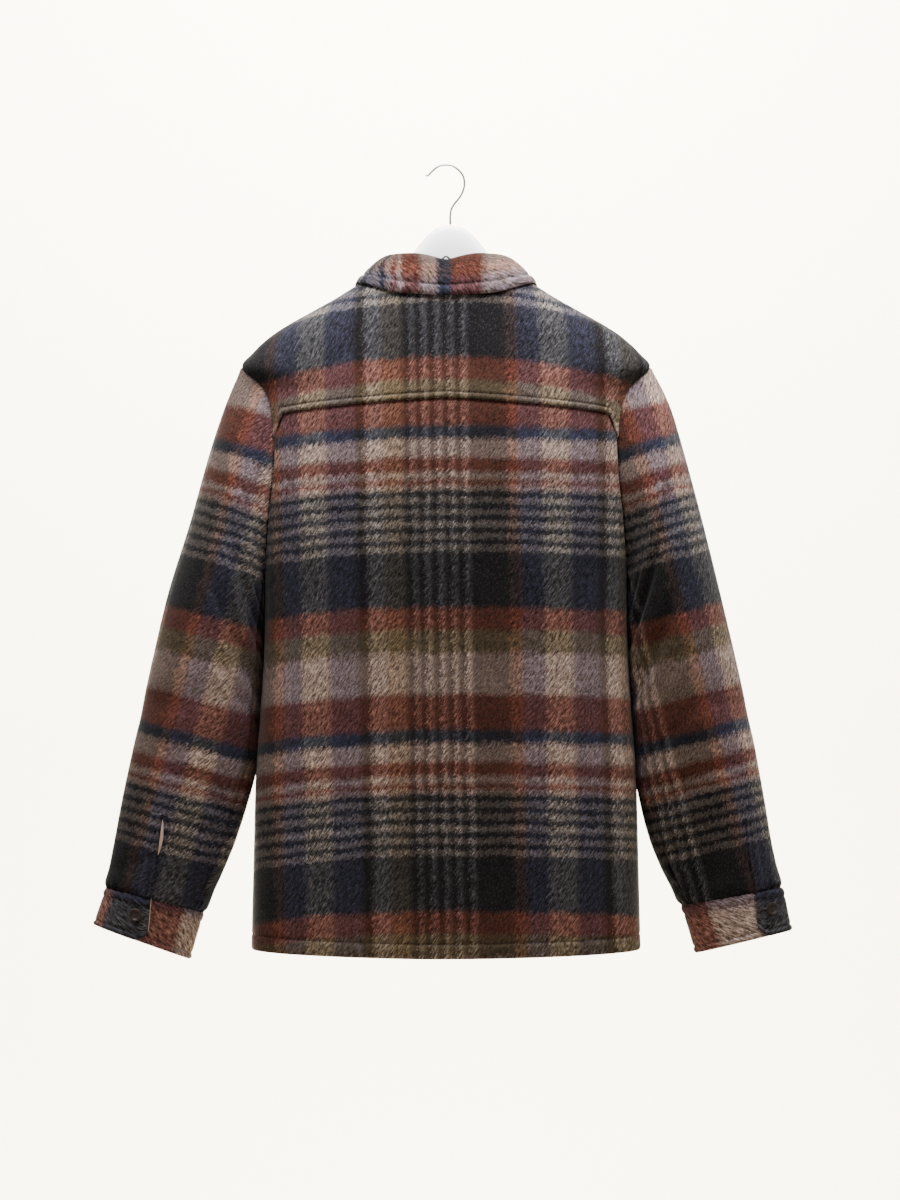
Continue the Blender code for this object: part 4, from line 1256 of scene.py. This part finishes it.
def plain_finish(name, colour, roughness, speckle, **more):
    """A finish whose roughness and colour vary a little."""
    finish = Finish(name)
    place = finish.node("ShaderNodeTexCoord", {}, {}).outputs["Object"]
    _, cloud = finish.noise(place, 90.0, 3.0)
    darker = tuple(value * (1.0 - speckle) for value in colour) + (1.0,)
    colours = finish.blend(cloud, darker, colour + (1.0,))
    finish.set(Base_Color=colours, Roughness=cloud * 0.1 + (roughness - 0.05), **more)
    return finish.material


RESIN = plain_finish("button_resin", (0.020, 0.009, 0.007), 0.36, 0.6, Specular_IOR_Level=0.25)
# The hook is bright plated steel. Its base colour is darkened here as a painted dark reflection,
# because the white studio gives the chrome nothing dark to mirror.
WIRE = plain_finish("hook_plating_painted_dark_reflection", (0.36, 0.36, 0.37), 0.22, 0.12, Metallic=1.0)
MOULDED = plain_finish("hanger_plastic", (0.96, 0.96, 0.95), 0.34, 0.02)
THREAD = plain_finish("dark_thread", (0.020, 0.017, 0.016), 0.75, 0.4)
TAPE = plain_finish("loop_tape", (0.024, 0.022, 0.023), 0.85, 0.35)
PALE = plain_finish("pale_lining_edge", (0.36, 0.25, 0.20), 0.95, 0.35)
RING = np.linspace(0.0, 1.0, 33)
print("six plain finishes")

# %% [markdown]
# The hanger is a white moulding with a domed middle, and its wire hook is one bent rod with a
# rounded tip. The hook turns over a rail at the origin of the whole model.

# %% Hanger and hook
HANGER_ROWS = (
    (0, -65.5, 34, 8),
    (12, -67.5, 33, 8),
    (24, -75.5, 29, 8.5),
    (34, -86.5, 24, 9),
    (43, -99, 19, 9.5),
    (54, -111, 16, 10),
    (70, -124.5, 13, 11),
    (92, -137, 12, 12),
    (120, -151.6, 11.5, 13),
    (150, -168, 11, 13.5),
    (175, -183.4, 9, 13),
    (186, -192, 6, 9.5),
    (191, -196.5, 3, 5),
)
HANGER_SIZES = table(HANGER_ROWS[1:] + tuple((-row[0],) + row[1:] for row in HANGER_ROWS))
HANGER_MIDDLE_X, HANGER_HALF = 4.8, 191.0
HOOK_LINE = np.array((
    (-23, -10.6), (-20, -10.4), (-15.8, -6.4), (-10.2, -1.6), (-5, 0.7), (0, 1.2),
    (6.2, 0.4), (13.6, -4.4), (18.6, -10.8), (20.4, -19.1), (18.7, -27.6), (15.1, -34.6),
    (9.5, -41.6), (5.9, -47.9), (4.8, -54), (4.8, -65.1),
))
HOOK_WIRE = 2.4


def hanger_form(across, down):
    offset = np.sin((down - 0.5) * np.pi) * HANGER_HALF
    past = np.maximum(np.abs(offset) - HANGER_HALF + 3.0, 0.0) / 3.0
    closing = np.sqrt(np.clip(1.0 - past ** 2, 0.0, 1.0))
    top, high, deep = [read(HANGER_SIZES, offset, column) for column in (1, 2, 3)]
    cosine, sine = circle(across)
    y = deep * closing * np.sign(sine) * np.abs(sine) ** 0.85
    z = top - high + high * closing * np.sign(cosine) * np.abs(cosine) ** 0.9
    return points(HANGER_MIDDLE_X + offset, y, z)


def smooth_line(knots, count):
    """A smooth curve through knots, as many places in the plane of the hanger."""
    run = run_along(knots)
    slopes = np.gradient(knots, run, axis=0)
    place = np.linspace(0.0, run[-1], count)
    index = np.clip(np.searchsorted(run, place) - 1, 0, len(run) - 2)
    span = (run[index + 1] - run[index])[:, None]
    share = (place - run[index])[:, None] / span
    start, end = slopes[index] * span, slopes[index + 1] * span
    rise = knots[index + 1] - knots[index]
    cubic, square = start + end - 2.0 * rise, 3.0 * rise - 2.0 * start - end
    return knots[index] + share * (start + share * (square + share * cubic))


def rod_form(line, y, step, half_sizes):
    """The form of a rod or tape that follows a line in the plane of the hanger."""
    shares = np.linspace(0.0, 1.0, len(line))

    def form(across, down):
        here = read_line(down, shares, line)
        ahead = unit(read_line(down + step, shares, line) - read_line(down - step, shares, line))
        (cosine, sine), (wide, thick) = circle(across), half_sizes(down)
        aside = wide * cosine
        return points(here[:, 0] - ahead[:, 1] * aside, y + thick * sine,
                      here[:, 1] + ahead[:, 0] * aside)

    return form


def hook_sizes(down):
    """Half the wire's thickness, twice, with its ends rounded."""
    to_end = np.minimum(np.minimum(down, 1.0 - down) * 150.0 / 1.2, 1.0)
    radius = 0.5 * HOOK_WIRE * np.sqrt(np.clip(1.0 - (1.0 - to_end) ** 2, 0.0, 1.0))
    return radius, radius


skin("hanger_moulding", hanger_form, RING, np.linspace(0.0, 1.0, 221),
     MOULDED, ["hanger_body"])
hook_form = rod_form(smooth_line(HOOK_LINE, 241), 0.0, 0.002, hook_sizes)
hook_rows = np.concatenate([[0.0, 0.0005, 0.002, 0.004, 0.006], np.linspace(0.01, 0.99, 200),
                            [0.994, 0.996, 0.998, 0.9995, 1.0]])
skin("hook_wire", hook_form, RING[::2], hook_rows, WIRE, ["hanger_hook"])
print("hanger and hook made")

# %% [markdown]
# Each button has a rounded rim, a dished face and four holes, and two bars of thread hold it. The
# sizes are those of a 14 mm coat button. A cuff button also shows the end of its buttonhole, a
# short bar of dense dark stitching.

# %% Buttons
BUTTON_PROFILE = table((
    (0, 0, 2.1), (0.2, 2.6, 2.05), (0.4, 4.6, 2.15), (0.5, 5.4, 2.95), (0.58, 6.2, 3),
    (0.66, 6.8, 2.6), (0.74, 6.95, 1.9), (0.82, 6.6, 0.9), (0.9, 5.2, 0.1), (1, 0, 0),
))
BUTTON_ROWS = np.concatenate([np.linspace(0.0, 0.42, 24), np.linspace(0.44, 1.0, 22)])
HOLE_OFF, HOLE_RADIUS, HOLE_DEPTH = 1.45, 0.85, 1.3
CUFF_BUTTON_ANGLES, CUFF_BUTTON_SHARE = {"left": 75.5, "right": 48.0}, 0.42
FRONT_BUTTONS, FRONT_BUTTON_TOP, FRONT_BUTTON_STEP = 6, -222.0, 112.0


def button_frame(normal):
    """Two directions in the plane of a button."""
    side = unit(np.cross(normal, UP))
    return side, np.cross(side, normal)


def button_form(foot, normal):
    side, up = button_frame(normal)

    def form(across, down):
        radius, height = read(BUTTON_PROFILE, down, 1), read(BUTTON_PROFILE, down, 2)
        radius = np.where((down > 0.0001) & (down < 0.9999), np.maximum(radius, 0.01), 0.0)
        across_it, up_it = [radius * part for part in circle(across)]
        hole = np.hypot(np.abs(across_it) - HOLE_OFF, np.abs(up_it) - HOLE_OFF)
        dip = np.where(down < 0.5, HOLE_DEPTH * ease((HOLE_RADIUS + 0.25 - hole) / 0.5), 0.0)
        on_face = across_it[:, None] * side + up_it[:, None] * up
        return foot + on_face + (height - dip)[:, None] * normal

    return form


def bar_form(start, end, out, width, height):
    """A rounded bar of thread that lies on a surface."""
    along = unit(end - start)
    side = np.cross(along, out)

    def form(across, down):
        share = down * 2.0 - 1.0
        fat = np.sqrt(np.clip(1.0 - np.abs(share) ** 4, 0.0, 1.0))
        cosine, sine = circle(across)
        place = (start + end) / 2.0 + (share * 0.5)[:, None] * (end - start)
        round_it = (width * fat * cosine)[:, None] * side + (height * fat * sine)[:, None] * out
        return place + round_it

    return form


def sew_button(name, foot, normal, tail=None):
    """Make a button, its two bars of thread and its buttonhole's end."""
    seat = foot + normal * LAYER_GAP
    skin(name + "_resin", button_form(seat, normal), np.linspace(0.0, 1.0, 65), BUTTON_ROWS,
         RESIN, [name])
    side, up = button_frame(normal)
    for offset in (-HOLE_OFF, HOLE_OFF):
        middle = seat + normal * 2.0 + side * offset
        form = bar_form(middle - up * 1.7, middle + up * 1.7, normal, 0.45, 0.5)
        skin(name + "_thread", form, RING[::4], np.linspace(0.0, 1.0, 12), THREAD)
    if tail is not None:
        form = bar_form(foot - side * tail * 6.0, foot + side * tail * 11.0, normal, 1.1, 0.7)
        skin(name + "_hole", form, RING[::2], np.linspace(0.0, 1.0, 24), THREAD)


def one(value):
    """A single number as an array."""
    return np.array([float(value)])


for hand, button_angle in CUFF_BUTTON_ANGLES.items():
    share, angle = one(mix(CUFF_START, CUFF_END, CUFF_BUTTON_SHARE)), one(button_angle)
    cuff_out = CUFF_CLOTH + LAYER_GAP + CUFF_PROUD
    seat, above = [sleeve(hand, share, angle, cuff_out + lift)[0] for lift in (0.0, 1.0)]
    sew_button("cuff_button_" + hand, seat + (above - seat) * 0.2, above - seat, tail=HANDS[hand])
for index in range(FRONT_BUTTONS):
    height = one(FRONT_BUTTON_TOP - index * FRONT_BUTTON_STEP)
    seat, above = [trunk(one(180.0), height, CLOTH + LAYER_GAP + lift)[0] for lift in (0.0, 1.0)]
    sew_button("front_button_%d" % (index + 1), seat, above - seat)
print("eight buttons sewn on")

# %% [markdown]
# Topstitching runs in the grooves that the forms already press into the cloth. Each row is one
# mesh of short thread bars, set along the same form as the cloth below it.

# %% Topstitching
STITCH, STITCH_GAP, STITCH_SINK = 3.2, 1.3, 0.15
NUDGE = 0.0008
LINE = np.linspace(0.004, 0.996, 400)


def stitch_row(name, places, outs):
    """Set bars of thread along a line of places on the cloth."""
    run = run_along(places)
    count = int(run[-1] / (STITCH + STITCH_GAP))
    starts = (np.arange(count) + 0.5) * run[-1] / count - STITCH / 2.0
    stations = [np.linspace(0.0, 1.0, divisions + 1) for divisions in (6, 5)]
    template, across, down = flat_grid(*stations)
    faces = [[vert.index for vert in face.verts] for face in template.faces]
    template.free()
    verts, all_faces = [], []
    for index, (first, last, out) in enumerate(zip(
            read_line(starts, run, places), read_line(starts + STITCH, run, places),
            read_line(starts, run, outs))):
        all_faces += [[number + index * len(across) for number in face] for face in faces]
        verts.append(bar_form(first, last, out, 0.42, 0.40)(across, down))
    data = bpy.data.meshes.new(name)
    data.from_pydata((np.concatenate(verts) * MM).tolist(), [], all_faces)
    row = bmesh.new()
    row.from_mesh(data)
    bmesh.ops.remove_doubles(row, verts=row.verts, dist=0.00001)
    bmesh.ops.recalc_face_normals(row, faces=row.faces)
    row.to_mesh(data)
    row.free()
    add_piece(name, data, THREAD)


def sew(name, form, across, down, centre):
    """Sew a row along shares of a cloth form, on the side that faces away from a centre."""
    across, down = [part + np.zeros(np.broadcast(across, down).shape) for part in (across, down)]
    places = form(across, down)[0]
    right = form(across + NUDGE, down)[0] - form(across - NUDGE, down)[0]
    below = form(across, down + NUDGE)[0] - form(across, down - NUDGE)[0]
    outs = unit(np.cross(right, below))
    outs *= np.where(((places - np.asarray(centre)) * outs).sum(axis=-1) < 0.0, -1.0, 1.0)[:, None]
    stitch_row(name, places - outs * STITCH_SINK, outs)


print("stitches of", STITCH, "mm")

# %% [markdown]
# Each row is given by shares across and down the form of its piece, worked out from its distance
# to the edge that it follows.


# %% Sew the rows
def back_row(height):
    """Shares down the back at a height above the hem."""
    turn = (LINE * 2.0 - 1.0) * 89.95
    return 1.0 - height / (yoke_z(turn) - 0.1 + TUCK - hem_z(turn))


sew("stitches_hem_back", back_form, LINE, back_row(HEM_STITCH), TRUNK_MIDDLE)
yoke_turns = np.linspace(-CORNER_TURN + 0.8, CORNER_TURN - 0.8, 400)
yoke_across = np.interp(yoke_turns, YOKE_TURNS, YOKE_ACROSS)
yoke_rise = YOKE_STITCH / yoke_lean(yoke_turns)
yoke_down = 1.0 - yoke_rise / (neck_z(yoke_turns) - yoke_z(yoke_turns))
sew("stitches_yoke", yoke_form, yoke_across, yoke_down, (0.0, 0.0, -300.0))
front_length = NECK_FRONT_Z + 40.0 * (1.0 - LINE) ** 2 - HEM_CENTRE_Z
for hand in HANDS:
    front_hem = 1.0 - HEM_STITCH / front_length
    sew("stitches_hem_front_" + hand, front_form(hand), LINE, front_hem, TRUNK_MIDDLE)
for name, inset in FRONT_STITCHES.items():
    sew("stitches_front_" + name, front_form("left"), 1.0 - inset / 320.0, LINE, TRUNK_MIDDLE)
collar_line = np.linspace(0.016, 0.984, 400)
collar_down = 1.0 - COLLAR_STITCH / FALL_WIDTH
sew("stitches_collar_edge", fall_form, collar_line, collar_down, (0.0, 0.0, -150.0))
for name, end in (("left", 0.0155), ("right", 0.9845)):
    end_line = np.linspace(0.2, 0.85, 60)
    sew("stitches_collar_" + name, fall_form, end, end_line, (0.0, 0.0, -170.0))
for hand in HANDS:
    form = cuff_form(hand)
    cuff_line = np.linspace(0.10, 0.980, 300)
    centre = form(LINE, LINE * 0.0 + 0.5)[0].mean(axis=0)
    top, edge = [distance / CUFF_LENGTH for distance in CUFF_STITCHES.values()]
    sew("stitches_cuff_top_" + hand, form, cuff_line, top, centre)
    sew("stitches_cuff_edge_" + hand, form, cuff_line, 1.0 - edge, centre)
    sew("stitches_cuff_lap_" + hand, form, 0.980, np.linspace(0.22, 0.86, 40), centre)
    placket_across = 1.0 - PLACKET_STITCH / PLACKET_WIDTH
    sew("stitches_placket_" + hand, placket_form(hand), placket_across,
        np.linspace(0.04, 0.97, 60), arm_middle(hand, 0.92))
print("topstitching sewn")

# %% [markdown]
# A flat tape loop inside the neck shows only its peak above the collar. On the left sleeve the
# slit above the cuff gapes a little, and its pale inside edge shows as a thin leaf, with a fine
# pale line down the end of the cuff's lap.

# %% Loop and slit
LOOP_PATH = np.array((
    (-7.5, -127), (-7.2, -121), (-6.8, -113.5), (-6, -107), (-3.4, -103.2), (0, -101.2),
    (3.4, -103.2), (6, -107), (6.8, -113.5), (7.2, -121), (7.5, -127),
))
LOOP_Y = ROLL_CENTRE_Y - ROLL_HALF_DEPTH + CLOTH + 1.0
SLIT_TOP, SLIT_BOTTOM = (0.812, 74.2), (0.895, 79.3)


def loop_sizes(down):
    """Half width and half thickness of the tape, closed at its ends."""
    open_end = (down > 0.0001) & (down < 0.9999)
    return 1.0 * open_end, 0.55 * open_end


def slit_form(across, down):
    cosine, sine = circle(across)
    half = 1.75 * np.sin(np.pi * down) ** 0.7
    share = mix(SLIT_TOP[0], SLIT_BOTTOM[0], down)
    angle = mix(SLIT_TOP[1], SLIT_BOTTOM[1], down) + np.degrees((1.0 + cosine) * half / 62.0)
    lift = mix(0.3, 2.4, ease(down * 3.0))
    return sleeve("left", share, angle, lift + 0.4 * sine * np.sin(np.pi * down))


def lap_line_form(across, down):
    cosine, sine = circle(across)
    thin = np.sin(np.pi * down) ** 0.4
    angle = 360.0 + LAP_ANGLES["left"] + LAP_SLANT * down + 0.3 + 0.42 * cosine * thin
    share = mix(CUFF_START - 0.006, CUFF_END - 0.026, down)
    lift = CUFF_CLOTH + LAYER_GAP + CUFF_PROUD - 0.6
    return sleeve("left", share, angle, lift + 0.6 * sine * thin)


TAPE_ROWS = np.concatenate([[0.0, 0.001], np.linspace(0.02, 0.98, 58), [0.999, 1.0]])
loop_form = rod_form(smooth_line(LOOP_PATH, 81), LOOP_Y, 0.01, loop_sizes)
skin("loop_tape", loop_form, RING[::2], TAPE_ROWS, TAPE, ["hang_loop"])
for name, form in (("slit_inside", slit_form), ("lap_edge", lap_line_form)):
    skin(name, form, RING[::4], np.linspace(0.0, 1.0, 41), PALE)
print("loop and slit made")

# %% [markdown]
# Light comes from a large soft source on each side, as in a catalogue picture, and the backdrop
# is a plain warm white. Its paper is clear from the back, so the fronts can be seen too.

# %% Studio
SWEEP_HALF_WIDTH, SWEEP_LENGTH = 5.0, 9.0
FLOOR_LENGTH, BEND_LENGTH, FLOOR_Z, FLOOR_START_Y = 4.0, 1.5, -1.75, -3.2
BEND_RADIUS = 0.955

sweep = bmesh.new()
bmesh.ops.create_grid(sweep, x_segments=1, y_segments=24, size=1.0)
for vert in sweep.verts:
    run = (vert.co.y + 1.0) / 2.0 * SWEEP_LENGTH
    angle = min(max(run - FLOOR_LENGTH, 0.0), BEND_LENGTH) / BEND_LENGTH * math.pi / 2.0
    y = min(run, FLOOR_LENGTH) + FLOOR_START_Y + math.sin(angle) * BEND_RADIUS
    up_wall = max(run - FLOOR_LENGTH - BEND_LENGTH, 0.0)
    z = FLOOR_Z + (1.0 - math.cos(angle)) * BEND_RADIUS + up_wall
    vert.co = (vert.co.x * SWEEP_HALF_WIDTH, y, z)
sweep_data = make_mesh("sweep", sweep)
sweep_data.shade_smooth()
backdrop = bpy.data.objects.new("backdrop", sweep_data)
bpy.context.scene.collection.objects.link(backdrop)
paper = Finish("backdrop_paper")
from_behind = Signal(paper, paper.node("ShaderNodeNewGeometry", {}, {}).outputs["Backfacing"])
paper.set(Base_Color=(0.93, 0.835, 0.680, 1.0), Roughness=0.9, Alpha=1.0 - from_behind)
sweep_data.materials.append(paper.material)


def soft_light(name, place, target, size, power, spread_angle=180.0):
    """A large square lamp that faces a target."""
    data = bpy.data.lights.new(name, "AREA")
    data.energy = power
    data.size = size
    data.spread = math.radians(spread_angle)
    lamp = bpy.data.objects.new(name, data)
    lamp.location = place
    lamp.rotation_euler = (Vector(target) - Vector(place)).to_track_quat("-Z", "Y").to_euler()
    bpy.context.scene.collection.objects.link(lamp)


MIDDLE = (0.0, 0.0, -0.5)
soft_light("key", (-1.6, -2.9, 0.2), MIDDLE, 1.6, 33.0)
soft_light("fill", (2.2, -2.6, -0.3), MIDDLE, 1.8, 20.0)
soft_light("backdrop_light", (0.0, 0.4, 1.6), (0.0, 2.2, -0.6), 2.4, 420.0, 90.0)
world = bpy.data.worlds.new("studio")
world.use_nodes = True
world.node_tree.nodes["Background"].inputs[0].default_value = (1.0, 0.985, 0.96, 1.0)
world.node_tree.nodes["Background"].inputs[1].default_value = 0.26
bpy.context.scene.world = world
print("three lamps and a paper sweep")
